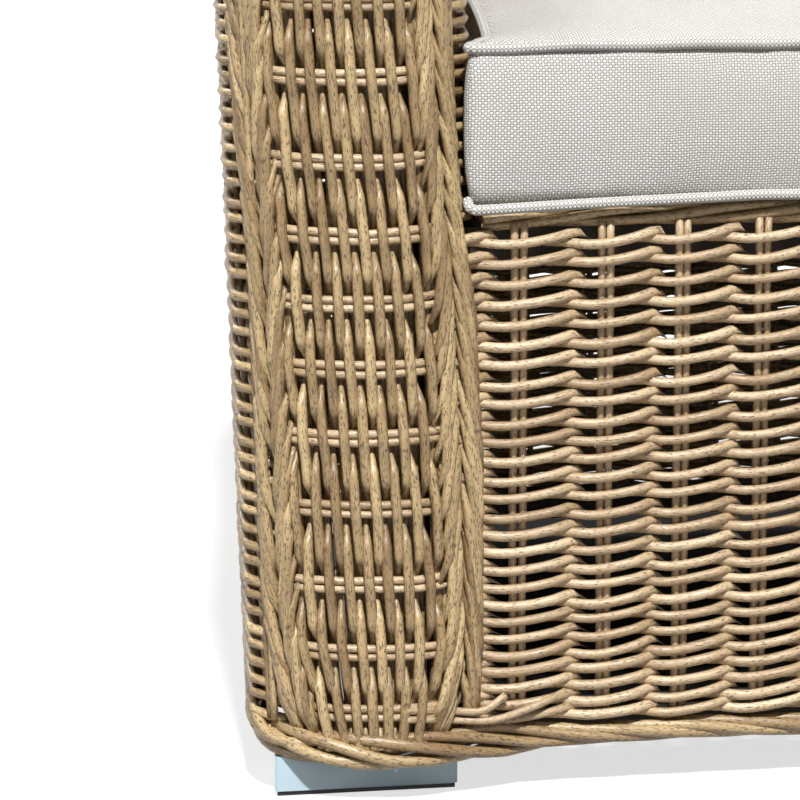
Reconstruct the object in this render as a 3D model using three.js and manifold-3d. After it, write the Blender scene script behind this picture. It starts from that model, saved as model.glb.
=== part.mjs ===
// Two-seat rattan garden sofa. Arms and back are one woven wall that runs from one arm's rounded
// nose, along the arm, round the rear corner and across the back. Inside it stands a frame of
// aluminium tube on four flat feet. A woven deck carries two seat cushions and two back cushions,
// which lift off. Millimetres, +Z up, front towards -Y, origin on the floor under the middle.
import * as THREE from "three";
import { mergeVertices } from "three/addons/utils/BufferGeometryUtils.js";
import Module from "manifold-3d";

const wasm = await Module();
wasm.setup();

const { clamp, lerp } = THREE.MathUtils;
const degree = Math.PI / 180;

// The woven wall, whose centreline starts where the arm's nose ends.
const armsApart = 1380; // between the arms' centrelines, at their front ends
const armSplay = 9 * degree; // each arm points this far outwards
const armLength = 500; // straight stretch of the arm
const cornerRadius = 135; // of the centreline, at the rear corners
const armHalf = 73; // half the arm's thickness
const backHalf = 60; // half the back's thickness
const armHeight = 610;
const backHeight = 830;
const sweepLength = 190; // of straight arm over which the top starts to climb to the back
const armLean = 0.0386; // outward slope of the arms
const backLean = 0.12; // rearward slope of the back
const topRise = 60; // height of the rounded top
const noseDepth = 70; // of the arm's rounded front
const roundness = 2.6; // exponent of the superellipse that rounds nose and top
const skin = 10; // thickness of the woven skins, two canes
const seam = 0.5; // gap where two woven skins meet
const stakePitch = 50; // between the upright stakes
const rowPitch = 10.3; // between the rows of canes
const reliefHeight = 3.7; // from the canes behind the stakes to the ones in front

// The arm's front: a panel of upright canes inside a plaited border.
const panelShare = 0.6; // of the arm's half thickness
const borderShare = 0.88; // outer edge of the plaited border
const borderProud = 3; // the plait stands in front of the panel

// Heights of the base and seat.
const footHeight = 21.5;
const glideHeight = 3;
const contact = 0.4; // gap kept between pieces that touch
const ropeHeight = 28; // plaited rope round the base
const ropeDepth = 16;
const ropeProud = 4; // it stands in front of the skins
const seatHeight = 352; // top of the woven deck
const edgeHeight = 20; // rolled top edge of the apron
const edgeDepth = 18;

// Feet
const footWidth = 112;
const footDepth = 70;
const footWall = 3;
const footChamfer = 2;
const footSetback = 29; // from the nose's tip to the front foot's face
const footOutward = 6.5; // of a front foot from the arm's middle line
const glideMargin = 1.5; // the glide is this much smaller than its foot all round

// Frame of square rails and round tubes
const railSize = 25;
const railWall = 2;
const baseRailHeight = 20;
const tubeRadius = 11;
const tubeInset = 7; // between the highest tubes and the skin above them
const hoopForward = 15; // of the start of the straight wall
const hoopShare = 0.575; // of the arm's half thickness
const hoopShoulder = 62; // the hoop starts to bend this far below its top
const cornerPostShare = 0.52; // how far round a rear corner its post and foot stand
const postSide = 80; // the rails run on this far beside the corners, towards the posts
const topRailDrop = 85; // from the top of the back to its highest tube
const lumbarHeight = 520;
const bearerShares = [-0.5, 0, 0.5]; // of the half width of the seat

// Cushions
const cushionHeight = 96;
const cushionCrown = 16;
const cushionClearance = 4; // of a seat cushion to the woven wall
const cushionGap = 6; // between neighbours
const cushionOverhang = 8; // in front of the apron's face
const cornerSoftness = 16; // radius of a cushion's corners in plan
const drawIn = 4; // the sides pull in this much between the corners
const bulgeShare = 0.004; // the sides stand out by this share at half height
const coverWall = 12; // cover with its fibre wadding, round the foam
const backCushionWidthShare = 0.9; // of the space behind the seat
const backCushionClearance = 7; // to the back
const backCushionHeight = 377;
const backCushionDepth = 104;
const backCushionCrown = 18;
const backCushionSink = 20; // how far it reaches below the seat cushion's crown
const zipLength = 300;
const zipSlot = 8;
const zipMiddleShare = 0.42; // of the seat cushion's width, away from its big corner
const zipUp = 70; // from a back cushion's lower edge
const zipSink = 3; // of the slider into the back cushion, from the crown's top
const sliderLength = 12;
const pullLength = 24;
const pullWidth = 6;
const pullThickness = 1.4;
const overrun = 5; // cutters run this far past what they cut

const materials = {
  cane: new THREE.MeshStandardMaterial({ color: 0xc2a477, roughness: 0.5, metalness: 0 }),
  aluminium: new THREE.MeshStandardMaterial({ color: 0x8a7a68, roughness: 0.5, metalness: 0.6 }),
  foot: new THREE.MeshStandardMaterial({ color: 0xc4d0d4, roughness: 0.4, metalness: 0.3 }),
  glide: new THREE.MeshStandardMaterial({ color: 0x1c1d1f, roughness: 0.7, metalness: 0 }),
  fabric: new THREE.MeshStandardMaterial({ color: 0xd8d5ce, roughness: 0.95, metalness: 0 }),
  foam: new THREE.MeshStandardMaterial({ color: 0xf0e9d2, roughness: 1, metalness: 0 }),
  zip: new THREE.MeshStandardMaterial({ color: 0x9a9a9c, roughness: 0.35, metalness: 0.8 }),
};

// Derived sizes
const armSpread = armsApart / 2;
const hoopHalf = hoopShare * armHalf;
const wallBottom = glideHeight + footHeight + contact;
const skinBottom = wallBottom + ropeHeight + contact;
const apronTop = seatHeight - edgeHeight - contact;
const deckBottom = seatHeight - skin;
const railTop = deckBottom - contact;
const cornerTurn = Math.PI / 2 - armSplay;
const cornerLength = cornerRadius * cornerTurn;
const cornerCentre = new THREE.Vector2(
  armSpread - armLength * Math.sin(armSplay) - cornerRadius * Math.cos(armSplay),
  armLength * Math.cos(armSplay) - cornerRadius * Math.sin(armSplay),
);
const wallLength = armLength + cornerLength + cornerCentre.x; // to the middle of the back
const armEnd = armLength - seam; // where the arm's skins meet the back's

function smooth(share) {
  const s = clamp(share, 0, 1);
  return s * s * (3 - 2 * s);
}

function vector(x, y, z) {
  return new THREE.Vector3(x, y, z);
}

// Where the wall's centreline is, which way leads out of the sofa and which way leads on.
function station(distance) {
  const pastArm = distance - armLength;
  const angle = armSplay + clamp(pastArm / cornerRadius, 0, cornerTurn);
  const out = vector(Math.cos(angle), Math.sin(angle), 0);
  const along = vector(-Math.sin(angle), Math.cos(angle), 0);
  const straight = Math.min(pastArm, 0) + Math.max(pastArm - cornerLength, 0);
  const point = vector(cornerCentre.x, cornerCentre.y, 0)
    .addScaledVector(out, cornerRadius)
    .addScaledVector(along, straight);
  const turned = smooth(pastArm / cornerLength);
  return {
    point,
    out,
    along,
    half: lerp(armHalf, backHalf, turned),
    lean: lerp(armLean, backLean, turned),
  };
}

function wallHeight(distance) {
  const climbStart = armLength - sweepLength;
  const climb = smooth((distance - climbStart) / (sweepLength + cornerLength));
  return lerp(armHeight, backHeight, climb);
}

function wallPoint(distance, across, z) {
  const s = station(distance);
  return s.point.clone().addScaledVector(s.out, across + s.lean * z).setZ(z);
}

// A point on the arm's nose at this place across it. The tip is on the centreline.
function nosePoint(across, z, inset = 0) {
  const s = station(0);
  const above = Math.max(z - (armHeight - topRise), 0) / (topRise - inset);
  const level = Math.abs(across / (armHalf - inset)) ** roundness + above ** roundness;
  const forward = (noseDepth - inset) * Math.max(1 - level, 0) ** (1 / roundness);
  return s.point
    .clone()
    .addScaledVector(s.along, -forward)
    .addScaledVector(s.out, across + s.lean * z)
    .setZ(z);
}

// A place along the wall's surface is a distance on the centreline, or a level from 0 to 1 on the
// nose, where 1 is the start of the straight wall.
function legPoint(place, side, z, inset) {
  if (place.level === undefined) {
    return wallPoint(place.distance, side * (station(place.distance).half - inset), z);
  }
  return nosePoint(side * place.level * (armHalf - inset), z, inset);
}

// A point on the rounded top, which a share draws in towards the middle.
function archPoint(place, angle, inset, share = 1) {
  const level = place.level ?? 1;
  const distance = place.distance ?? 0;
  const half = (station(distance).half - inset) * level * share;
  const rise = (topRise - inset) * level;
  const across = half * Math.sign(Math.cos(angle)) * Math.abs(Math.cos(angle)) ** (2 / roundness);
  const z = wallHeight(distance) - topRise + rise * Math.abs(Math.sin(angle)) ** (2 / roundness);
  return place.level === undefined ? wallPoint(distance, across, z) : nosePoint(across, z, inset);
}

// Numbers from start to end, both included.
function spread(start, end, steps) {
  return Array.from({ length: steps + 1 }, (_, i) => lerp(start, end, i / steps));
}

// Turns a list of triangles round if they face inwards.
function facingOut(positions, index) {
  const point = (i) => vector(...positions.slice(3 * i, 3 * i + 3));
  let volume = 0;
  for (let i = 0; i < index.length; i += 3) {
    const [a, b, c] = [point(index[i]), point(index[i + 1]), point(index[i + 2])];
    volume += a.dot(b.cross(c));
  }
  if (volume < 0) index.reverse();
  const geometry = new THREE.BufferGeometry();
  geometry.setAttribute("position", new THREE.Float32BufferAttribute(positions, 3));
  geometry.setIndex(index);
  return geometry;
}

const archSteps = 14;
const archAngles = spread(0, Math.PI, archSteps);

// Closes a stack of rings, each a list of as many points, with a fan at either end.
function loft(rings) {
  const count = rings[0].length;
  const centre = (ring) => ring.reduce((sum, p) => sum.add(p), vector(0, 0, 0)).divideScalar(count);
  const points = [...rings.flat(), centre(rings[0]), centre(rings.at(-1))];
  const first = rings.length * count;
  const index = [];
  for (let j = 0; j < count; j++) {
    const next = (j + 1) % count;
    for (let i = 0; i + 1 < rings.length; i++) {
      const [a, b] = [i * count + j, i * count + next];
      index.push(a, b, a + count, b, b + count, a + count);
    }
    index.push(first, next, j);
    const last = first - count;
    index.push(first + 1, last + j, last + next);
  }
  return facingOut(points.flatMap((p) => p.toArray()), index);
}

// A woven skin: a curved slab between pointAt(column, row, 0) and pointAt(column, row, depth).
function slab(columns, rows, pointAt, depth = skin) {
  const points = [0, depth].flatMap((inset) =>
    columns.flatMap((column) => rows.map((row) => pointAt(column, row, inset))),
  );
  const [wide, tall] = [columns.length, rows.length];
  const at = (i, j, layer) => (layer * wide + i) * tall + j;
  const index = [];
  const quad = (a, b, c, d) => index.push(a, b, c, a, c, d);
  for (let i = 0; i + 1 < wide; i++) {
    for (let j = 0; j + 1 < tall; j++) {
      quad(at(i, j, 0), at(i + 1, j, 0), at(i + 1, j + 1, 0), at(i, j + 1, 0));
      quad(at(i, j, 1), at(i, j + 1, 1), at(i + 1, j + 1, 1), at(i + 1, j, 1));
    }
    quad(at(i, 0, 0), at(i, 0, 1), at(i + 1, 0, 1), at(i + 1, 0, 0));
    quad(at(i, tall - 1, 0), at(i + 1, tall - 1, 0), at(i + 1, tall - 1, 1), at(i, tall - 1, 1));
  }
  for (let j = 0; j + 1 < tall; j++) {
    quad(at(0, j, 0), at(0, j + 1, 0), at(0, j + 1, 1), at(0, j, 1));
    quad(at(wide - 1, j, 0), at(wide - 1, j, 1), at(wide - 1, j + 1, 1), at(wide - 1, j + 1, 0));
  }
  return facingOut(points.flatMap((p) => p.toArray()), index);
}

// A skin whose outer face has the relief of its weave: each row of canes passes in front of one
// stake and behind the next. Its edges and its hidden face are plain.
function wovenSlab(columns, rows, pointAt) {
  const [wide, tall] = [columns.length, rows.length];
  const inset = (i, j) => {
    const edge = i === 0 || j === 0 || i === wide - 1 || j === tall - 1;
    return edge ? 0 : (reliefHeight / 2) * ((i + j) % 2 ? 1 : -1);
  };
  const points = columns.flatMap((column, i) => [
    ...rows.map((row, j) => pointAt(column, row, inset(i, j))),
    pointAt(column, rows[0], skin),
    pointAt(column, rows.at(-1), skin),
  ]);
  const top = tall - 1;
  const [hiddenLow, hiddenTop] = [tall, tall + 1];
  const at = (i, j) => i * (tall + 2) + j;
  const index = [];
  const quad = (a, b, c, d) => index.push(a, b, c, a, c, d);
  for (let i = 0; i + 1 < wide; i++) {
    for (let j = 0; j < top; j++) {
      quad(at(i, j), at(i + 1, j), at(i + 1, j + 1), at(i, j + 1));
    }
    quad(at(i, hiddenLow), at(i, hiddenTop), at(i + 1, hiddenTop), at(i + 1, hiddenLow));
    quad(at(i, 0), at(i, hiddenLow), at(i + 1, hiddenLow), at(i + 1, 0));
    quad(at(i, top), at(i + 1, top), at(i + 1, hiddenTop), at(i, hiddenTop));
  }
  const last = wide - 1;
  for (let j = 0; j < top; j++) {
    index.push(at(0, hiddenLow), at(0, j), at(0, j + 1));
    index.push(at(last, hiddenLow), at(last, j + 1), at(last, j));
  }
  index.push(at(0, hiddenLow), at(0, top), at(0, hiddenTop));
  index.push(at(last, hiddenLow), at(last, hiddenTop), at(last, top));
  return facingOut(points.flatMap((p) => p.toArray()), index);
}

// A rounded bar along a level path. Its section is wide across the path and tall in Z.
function rope(path, wide, tall) {
  const chamfer = Math.min(wide, tall) / 4;
  const [a, b] = [wide / 2, tall / 2];
  const section = [
    [a, -b + chamfer], [a, b - chamfer], [a - chamfer, b], [chamfer - a, b],
    [-a, b - chamfer], [-a, chamfer - b], [chamfer - a, -b], [a - chamfer, -b],
  ];
  const rings = path.map((p, i) => {
    const ahead = path[Math.min(i + 1, path.length - 1)];
    const behind = path[Math.max(i - 1, 0)];
    const along = ahead.clone().sub(behind).setZ(0).normalize();
    const out = vector(along.y, -along.x, 0);
    return section.map(([x, z]) => p.clone().addScaledVector(out, x).add(vector(0, 0, z)));
  });
  return loft(rings);
}

function solidOf(geometry) {
  const bare = new THREE.BufferGeometry().setAttribute("position", geometry.attributes.position.clone());
  if (geometry.index) bare.setIndex(geometry.index);
  const merged = mergeVertices(bare.index ? bare.toNonIndexed() : bare);
  return new wasm.Manifold(
    new wasm.Mesh({
      numProp: 3,
      vertProperties: new Float32Array(merged.attributes.position.array),
      triVerts: new Uint32Array(merged.index.array),
    }),
  );
}

function geometryOf(solid) {
  const mesh = solid.getMesh();
  const geometry = new THREE.BufferGeometry();
  geometry.setAttribute("position", new THREE.BufferAttribute(new Float32Array(mesh.vertProperties), 3));
  geometry.setIndex(new THREE.BufferAttribute(new Uint32Array(mesh.triVerts), 1));
  return geometry;
}

function block(low, high) {
  const size = high.clone().sub(low);
  const middle = low.clone().add(high).divideScalar(2);
  return new THREE.BoxGeometry(...size.toArray()).translate(...middle.toArray());
}

function named(name, geometry, material) {
  const mesh = new THREE.Mesh(geometry, material);
  mesh.name = name;
  return mesh;
}

// Square tube from one point to another, with its width kept level.
function rail(name, from, to, wide = railSize, tall = railSize) {
  const outline = (x, y) => [[-x, -y], [x, -y], [x, y], [-x, y]].map((p) => new THREE.Vector2(...p));
  const shape = new THREE.Shape(outline(wide / 2, tall / 2));
  shape.holes.push(new THREE.Path(outline(wide / 2 - railWall, tall / 2 - railWall)));
  const length = from.distanceTo(to);
  const mesh = named(
    name,
    new THREE.ExtrudeGeometry(shape, { depth: length, bevelEnabled: false }),
    materials.aluminium,
  );
  const along = to.clone().sub(from).normalize();
  const upright = Math.abs(along.z) > Math.SQRT1_2;
  const across = upright ? vector(1, 0, 0) : vector(along.y, -along.x, 0).normalize();
  const third = along.clone().cross(across).normalize();
  mesh.quaternion.setFromRotationMatrix(new THREE.Matrix4().makeBasis(across, third, along));
  mesh.position.copy(from);
  return mesh;
}

// Round tube bent through the points.
function bentTube(name, points, steps) {
  const sides = 8;
  const circle = (radius) =>
    Array.from({ length: sides }, (_, i) => {
      const angle = (2 * Math.PI * i) / sides;
      return new THREE.Vector2(radius * Math.cos(angle), radius * Math.sin(angle));
    });
  const shape = new THREE.Shape(circle(tubeRadius));
  shape.holes.push(new THREE.Path(circle(tubeRadius - railWall)));
  const path = new THREE.CatmullRomCurve3(points, false, "chordal");
  return named(name, new THREE.ExtrudeGeometry(shape, { steps, extrudePath: path }), materials.aluminium);
}

// Woven skins and plaits of the right arm. The left arm mirrors them.
const flankShares = [0.45, 0.8]; // of the way from the plait's edge to the straight wall
const straightShares = [0, 0.3, 0.6]; // of the arm's length, before its top climbs
const flank = [
  { level: borderShare + seam / armHalf },
  ...flankShares.map((share) => ({ level: lerp(borderShare, 1, share) })),
];
const armPlaces = [
  ...flank,
  ...straightShares.map((share) => ({ distance: share * armLength })),
  ...spread(armLength - sweepLength, armEnd, 4).map((distance) => ({ distance })),
];
const shoulderOf = (place) => wallHeight(place.distance ?? 0) - topRise;

function armOuterWeave() {
  return slab(armPlaces, spread(0, 1, 4), (place, share, inset) =>
    legPoint(place, 1, lerp(skinBottom, shoulderOf(place) - seam, share), inset),
  );
}

function armInnerWeave() {
  return slab(armPlaces, spread(0, 1, 3), (place, share, inset) =>
    legPoint(place, -1, lerp(deckBottom, shoulderOf(place) - seam, share), inset),
  );
}

function armTopWeave() {
  return slab(armPlaces, archAngles, archPoint);
}

function armFrontWeave() {
  const edge = { level: panelShare - seam / armHalf };
  const legRows = spread(skinBottom, armHeight - topRise, 4).map((z) => ({ z }));
  const archRows = archAngles.slice(1, archSteps / 2).map((angle) => ({ angle }));
  return slab(spread(-1, 1, 8), [...legRows, ...archRows], (share, row, inset) =>
    row.z ? legPoint(edge, share, row.z, inset) : archPoint(edge, row.angle, inset, share),
  );
}

// The plait goes up the outer edge of the panel, over it and down the inner edge.
function armFrontBorder() {
  const shoulder = armHeight - topRise;
  const upLeg = spread(skinBottom, shoulder, 4).slice(0, -1);
  const run = [
    ...upLeg.map((z) => ({ side: 1, z })),
    ...archAngles.map((angle) => ({ angle })),
    ...upLeg.toReversed().map((z) => ({ side: -1, z })),
  ];
  const levels = spread(panelShare, borderShare, 3).map((level) => ({ level }));
  return slab(
    run,
    levels,
    (r, place, inset) => {
      const depth = inset - borderProud;
      return r.side ? legPoint(place, r.side, r.z, depth) : archPoint(place, r.angle, depth);
    },
    skin + borderProud,
  );
}

// Base rope: from the apron, round the nose and back along the arm.
const ropeInset = ropeDepth / 2 - ropeProud;
const ropeMiddle = wallBottom + ropeHeight / 2;
const apronFront = legPoint({ level: borderShare }, -1, skinBottom, 0).y;
const apronRope = apronFront + ropeInset;

function armBaseBorder() {
  const nose = spread(-borderShare, 1, 14)
    .slice(0, -1)
    .map((share) => nosePoint(share * (armHalf - ropeInset), ropeMiddle, ropeInset));
  const side = [0, 0.5, 1].map((share) => wallPoint(share * armEnd, armHalf - ropeInset, ropeMiddle));
  return rope([...nose, ...side], ropeDepth, ropeHeight);
}

// Skins of the back, from the right arm's end to the left one's.
const cornerPlaces = spread(armLength + seam, armLength + cornerLength, 6);
const backPlaces = [
  ...cornerPlaces.map((distance) => ({ distance })),
  { distance: wallLength },
  ...cornerPlaces.toReversed().map((distance) => ({ distance, mirror: true })),
];
const mirrored = (place, point) => (place.mirror ? point.setX(-point.x) : point);

// The outer face has a stake at each place round the corners, and more of them between.
const reliefRows = 2; // rows of canes that the back's relief takes as one
const straightStakes = Math.round(cornerCentre.x / stakePitch);
const stakePlaces = [
  ...cornerPlaces.slice(0, -1),
  ...spread(armLength + cornerLength, wallLength, straightStakes),
];
const outerPlaces = [
  ...stakePlaces.map((distance) => ({ distance })),
  ...stakePlaces.toReversed().slice(1).map((distance) => ({ distance, mirror: true })),
];

function backOuterWeave() {
  const rows = Math.round((backHeight - topRise - skinBottom) / (reliefRows * rowPitch));
  return wovenSlab(outerPlaces, spread(0, 1, rows), (place, share, inset) =>
    mirrored(place, legPoint(place, 1, lerp(skinBottom, shoulderOf(place) - seam, share), inset)),
  );
}

function backInnerWeave() {
  return slab(backPlaces, spread(0, 1, 3), (place, share, inset) =>
    mirrored(place, legPoint(place, -1, lerp(deckBottom, shoulderOf(place) - seam, share), inset)),
  );
}

function backTopWeave() {
  return slab(backPlaces, archAngles, (place, angle, inset) =>
    mirrored(place, archPoint(place, angle, inset)),
  );
}

function backBaseBorder() {
  const points = backPlaces.map((place) => {
    const half = station(place.distance).half;
    return mirrored(place, wallPoint(place.distance, half - ropeInset, ropeMiddle));
  });
  return rope(points, ropeDepth, ropeHeight);
}

// The apron's ends follow the lean of the arms' plaits.
function apronEnd(z) {
  return legPoint({ level: borderShare }, -1, z, -borderProud).x - seam;
}

function apronWeave() {
  const stakes = Math.round((2 * apronEnd(skinBottom)) / stakePitch);
  const rows = Math.round((apronTop - skinBottom) / rowPitch);
  return wovenSlab(spread(-1, 1, stakes), spread(skinBottom, apronTop, rows), (share, z, inset) =>
    vector(share * apronEnd(z), apronFront + inset, z),
  );
}

const edgeMiddle = seatHeight - edgeHeight / 2;
const edgeRear = apronFront + edgeDepth;

function apronTopBorder() {
  const y = apronFront + edgeDepth / 2;
  const end = innerLine(edgeRear, seam, deckBottom);
  return rope([vector(-end, y, edgeMiddle), vector(end, y, edgeMiddle)], edgeDepth, edgeHeight);
}

function baseFrontBorder() {
  const nose = nosePoint(-borderShare * (armHalf - ropeInset), ropeMiddle, ropeInset - ropeDepth / 2);
  const end = nose.x - seam - ropeDepth / 2;
  return rope([vector(-end, apronRope, ropeMiddle), vector(end, apronRope, ropeMiddle)], ropeDepth, ropeHeight);
}

// Plan outline inside the wall, at this clearance and height, for the right half of the seat.
function innerLine(y, clearance, z) {
  const across = armLean * z - armHalf - clearance;
  const distance = (y - across * Math.sin(armSplay)) / Math.cos(armSplay);
  return armSpread - distance * Math.sin(armSplay) + across * Math.cos(armSplay);
}

function innerRear(clearance, z) {
  return cornerCentre.y + cornerRadius - backHalf - clearance + backLean * z;
}

// Rounds one corner of an outline with an arc.
function fillet(before, corner, after, radius, steps) {
  const into = before.clone().sub(corner).normalize();
  const onto = after.clone().sub(corner).normalize();
  const half = into.angleTo(onto) / 2;
  const bisector = into.clone().add(onto).normalize();
  const centre = corner.clone().addScaledVector(bisector, radius / Math.sin(half));
  const reach = radius / Math.tan(half);
  const start = corner.clone().addScaledVector(into, reach).sub(centre);
  const end = corner.clone().addScaledVector(onto, reach).sub(centre);
  return spread(0, 1, steps).map((share) =>
    start.clone().lerp(end, share).setLength(radius).add(centre),
  );
}

// Corners of the space for a seat, starting at the middle of the front.
function seatCorners(inner, clearance, z, front) {
  const rear = innerRear(clearance, z);
  return [
    vector(inner, front, 0),
    vector(innerLine(front, clearance, z), front, 0),
    vector(innerLine(rear, clearance, z), rear, 0),
    vector(inner, rear, 0),
  ];
}

// The deck fills the space inside the wall, behind the apron's rolled edge.
function deckWeave() {
  const front = vector(innerLine(edgeRear, seam, deckBottom), edgeRear + contact, 0);
  const wall = [...armPlaces.slice(flank.length + 1), ...backPlaces.slice(0, cornerPlaces.length)];
  const right = [front, ...wall.map((place) => legPoint(place, -1, deckBottom, -seam))];
  const left = right.toReversed().map((p) => vector(-p.x, p.y, 0));
  const shape = new THREE.Shape([...right, ...left].map((p) => new THREE.Vector2(p.x, p.y)));
  return new THREE.ExtrudeGeometry(shape, { depth: skin, bevelEnabled: false }).translate(0, 0, deckBottom);
}

// A boxed cushion over an outline of four corners: crowned faces, and sides that draw in between
// the corners. Its lower face is flat unless it has a crown of its own.
function cushionSolid(corners, radii, height, crown, lowerCrown) {
  const cornerSteps = 4;
  const sideSteps = 5;
  const arcs = corners.map((corner, i) =>
    fillet(corners.at(i - 1), corner, corners[(i + 1) % corners.length], radii[i], cornerSteps),
  );
  const outline = arcs.flatMap((arc, i) => {
    const next = arcs[(i + 1) % arcs.length][0];
    const last = arc.at(-1);
    const inwards = vector(last.y - next.y, next.x - last.x, 0).normalize();
    const side = spread(0, 1, sideSteps)
      .slice(1, -1)
      .map((share) =>
        last.clone().lerp(next, share).addScaledVector(inwards, drawIn * Math.sin(Math.PI * share)),
      );
    return [...arc, ...side];
  });
  const centre = outline.reduce((sum, p) => sum.add(p), vector(0, 0, 0)).divideScalar(outline.length);
  const ring = (share, z) => outline.map((p) => centre.clone().lerp(p, share).setZ(z));
  const faceShares = [0.12, 0.4, 0.65, 0.84, 0.94];
  const dome = (share) => 1 - share ** 3;
  const sideShares = [[0.98, 0], [1, 0.1], [1 + bulgeShare, 0.5], [1, 0.9], [0.98, 1]];
  return loft([
    ...faceShares.map((share) => ring(share, -lowerCrown * dome(share))),
    ...sideShares.map(([share, levelShare]) => ring(share, levelShare * height)),
    ...faceShares.toReversed().map((share) => ring(share, height + crown * dome(share))),
  ]);
}

// The foam's space: the same outline, drawn in by the cover's wall, with straight sides.
function foamSolid(corners, radii, low, high, inset) {
  const arcs = corners.map((corner, i) =>
    fillet(corners.at(i - 1), corner, corners[(i + 1) % corners.length], radii[i], 2),
  );
  const outline = arcs.flat();
  const centre = outline.reduce((sum, p) => sum.add(p), vector(0, 0, 0)).divideScalar(outline.length);
  const drawn = outline.map((p) => {
    const towards = centre.clone().sub(p);
    const turn = vector(
      Math.sign(towards.x) * Math.min(inset, Math.abs(towards.x)),
      Math.sign(towards.y) * Math.min(inset, Math.abs(towards.y)),
      0,
    );
    return p.clone().add(turn);
  });
  return loft([low, high].map((z) => drawn.map((p) => p.clone().setZ(z))));
}

const cushionFront = apronFront - cushionOverhang;
const cushionBottom = seatHeight + contact;
const foamInset = coverWall + drawIn;

// Zip slider: a body that runs in the slot and a pull that hangs outside the cushion. Its origin
// is where the pull meets the cushion, with Y outwards.
function sliderSolid(bodyDepth) {
  const tall = zipSlot / 2 - contact;
  const body = block(vector(-sliderLength / 2, -bodyDepth, -tall), vector(sliderLength / 2, pullThickness, tall));
  const pull = block(vector(-pullWidth / 2, 0, -pullLength), vector(pullWidth / 2, pullThickness, tall));
  return solidOf(body).add(solidOf(pull));
}

// Cover with its fibre wadding, open along the zip, and the foam core inside it.
function cushionPieces(shape, slot) {
  const { corners, radii, height, crown, lowerCrown } = shape;
  const gap = coverWall / 2;
  const cavity = foamSolid(corners, radii, gap, height - gap, foamInset);
  const core = foamSolid(corners, radii, gap + contact, height - gap - contact, foamInset + contact);
  const outer = solidOf(cushionSolid(corners, radii, height, crown, lowerCrown));
  return { outer, cover: outer.subtract(solidOf(cavity)).subtract(solidOf(slot)), core: solidOf(core) };
}

// The right-hand seat cushion. The left one mirrors it.
function seatCushion() {
  const corners = seatCorners(cushionGap / 2, cushionClearance, seatHeight, cushionFront);
  const radii = [cornerSoftness, cornerSoftness, cornerRadius, cornerSoftness];
  const shape = { corners, radii, height: cushionHeight, crown: cushionCrown, lowerCrown: 0 };
  const rear = corners[3].y;
  const middle = zipMiddleShare * corners[2].x;
  const slot = block(
    vector(middle - zipLength / 2, rear - foamInset - overrun, (cushionHeight - zipSlot) / 2),
    vector(middle + zipLength / 2, rear + overrun, (cushionHeight + zipSlot) / 2),
  );
  const start = middle - zipLength / 2 + sliderLength;
  const bulge = (bulgeShare * (rear - cushionFront)) / 2;
  const slider = sliderSolid(coverWall).translate([start, rear + bulge + contact, cushionHeight / 2]);
  const pieces = { ...cushionPieces(shape, slot), slider };
  for (const key of Object.keys(pieces)) pieces[key] = pieces[key].translate([0, 0, cushionBottom]);
  return pieces;
}

// The right-hand back cushion is laid out flat, with X across, Y up the cushion and Z towards its
// front, and then stood against the back. Its foot takes the shape of the seat cushion's crown.
function backCushion(seat) {
  const base = cushionBottom + cushionHeight + cushionCrown - backCushionSink;
  const rearFoot = innerRear(backCushionClearance, base);
  const space = innerLine(rearFoot, backCushionClearance, base);
  const wide = backCushionWidthShare * space - cushionGap / 2;
  const tall = backCushionHeight;
  const corners = [vector(0, 0, 0), vector(wide, 0, 0), vector(wide, tall, 0), vector(0, tall, 0)];
  const radii = corners.map(() => cornerSoftness);
  const shape = {
    corners,
    radii,
    height: backCushionDepth,
    crown: backCushionCrown,
    lowerCrown: backCushionCrown,
  };
  const slot = block(
    vector((wide - zipLength) / 2, zipUp - zipSlot / 2, -backCushionCrown - overrun),
    vector((wide + zipLength) / 2, zipUp + zipSlot / 2, coverWall),
  );
  const start = (wide - zipLength) / 2 + sliderLength;
  const slider = sliderSolid(coverWall)
    .rotate([-90, 0, 0])
    .translate([start, zipUp, zipSink - backCushionCrown]);
  const stand = new THREE.Matrix4()
    .makeTranslation(cushionGap / 2, rearFoot - backCushionCrown, base)
    .multiply(new THREE.Matrix4().makeRotationX(Math.PI / 2 - Math.atan(backLean)));
  const pieces = { ...cushionPieces(shape, slot), slider };
  const clear = seat.outer.translate([0, 0, contact]);
  for (const key of Object.keys(pieces)) {
    pieces[key] = pieces[key].transform(stand.elements).subtract(clear);
  }
  return pieces;
}

// A foot is a shallow cap, open below, where its glide closes it. Its origin is on the floor.
function footMesh(name, place) {
  const [x, y, c] = [footWidth / 2, footDepth / 2, footChamfer];
  const outline = [
    [c - x, -y], [x - c, -y], [x, c - y], [x, y - c], [x - c, y], [c - x, y], [-x, y - c], [-x, c - y],
  ];
  const shape = new THREE.Shape(outline.map((p) => new THREE.Vector2(...p)));
  const cap = new THREE.ExtrudeGeometry(shape, { depth: footHeight, bevelEnabled: false });
  const pocket = block(
    vector(footWall - x, footWall - y, -overrun),
    vector(x - footWall, y - footWall, footHeight - footWall),
  );
  const geometry = geometryOf(solidOf(cap).subtract(solidOf(pocket)).translate([0, 0, glideHeight]));
  return named(name, geometry.applyMatrix4(place), materials.foot);
}

function glideMesh(name, place) {
  const [x, y] = [footWidth / 2 - glideMargin, footDepth / 2 - glideMargin];
  const pad = block(vector(-x, -y, 0), vector(x, y, glideHeight - contact / 2));
  return named(name, pad.applyMatrix4(place), materials.glide);
}

// Where a foot stands: its width and its depth each lie along a level direction.
function footPlace(width, depth, point) {
  return new THREE.Matrix4()
    .makeTranslation(point.x, point.y, 0)
    .multiply(new THREE.Matrix4().makeBasis(width, depth, vector(0, 0, 1)));
}

const cornerMiddle = armLength + cornerPostShare * cornerLength;
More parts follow.
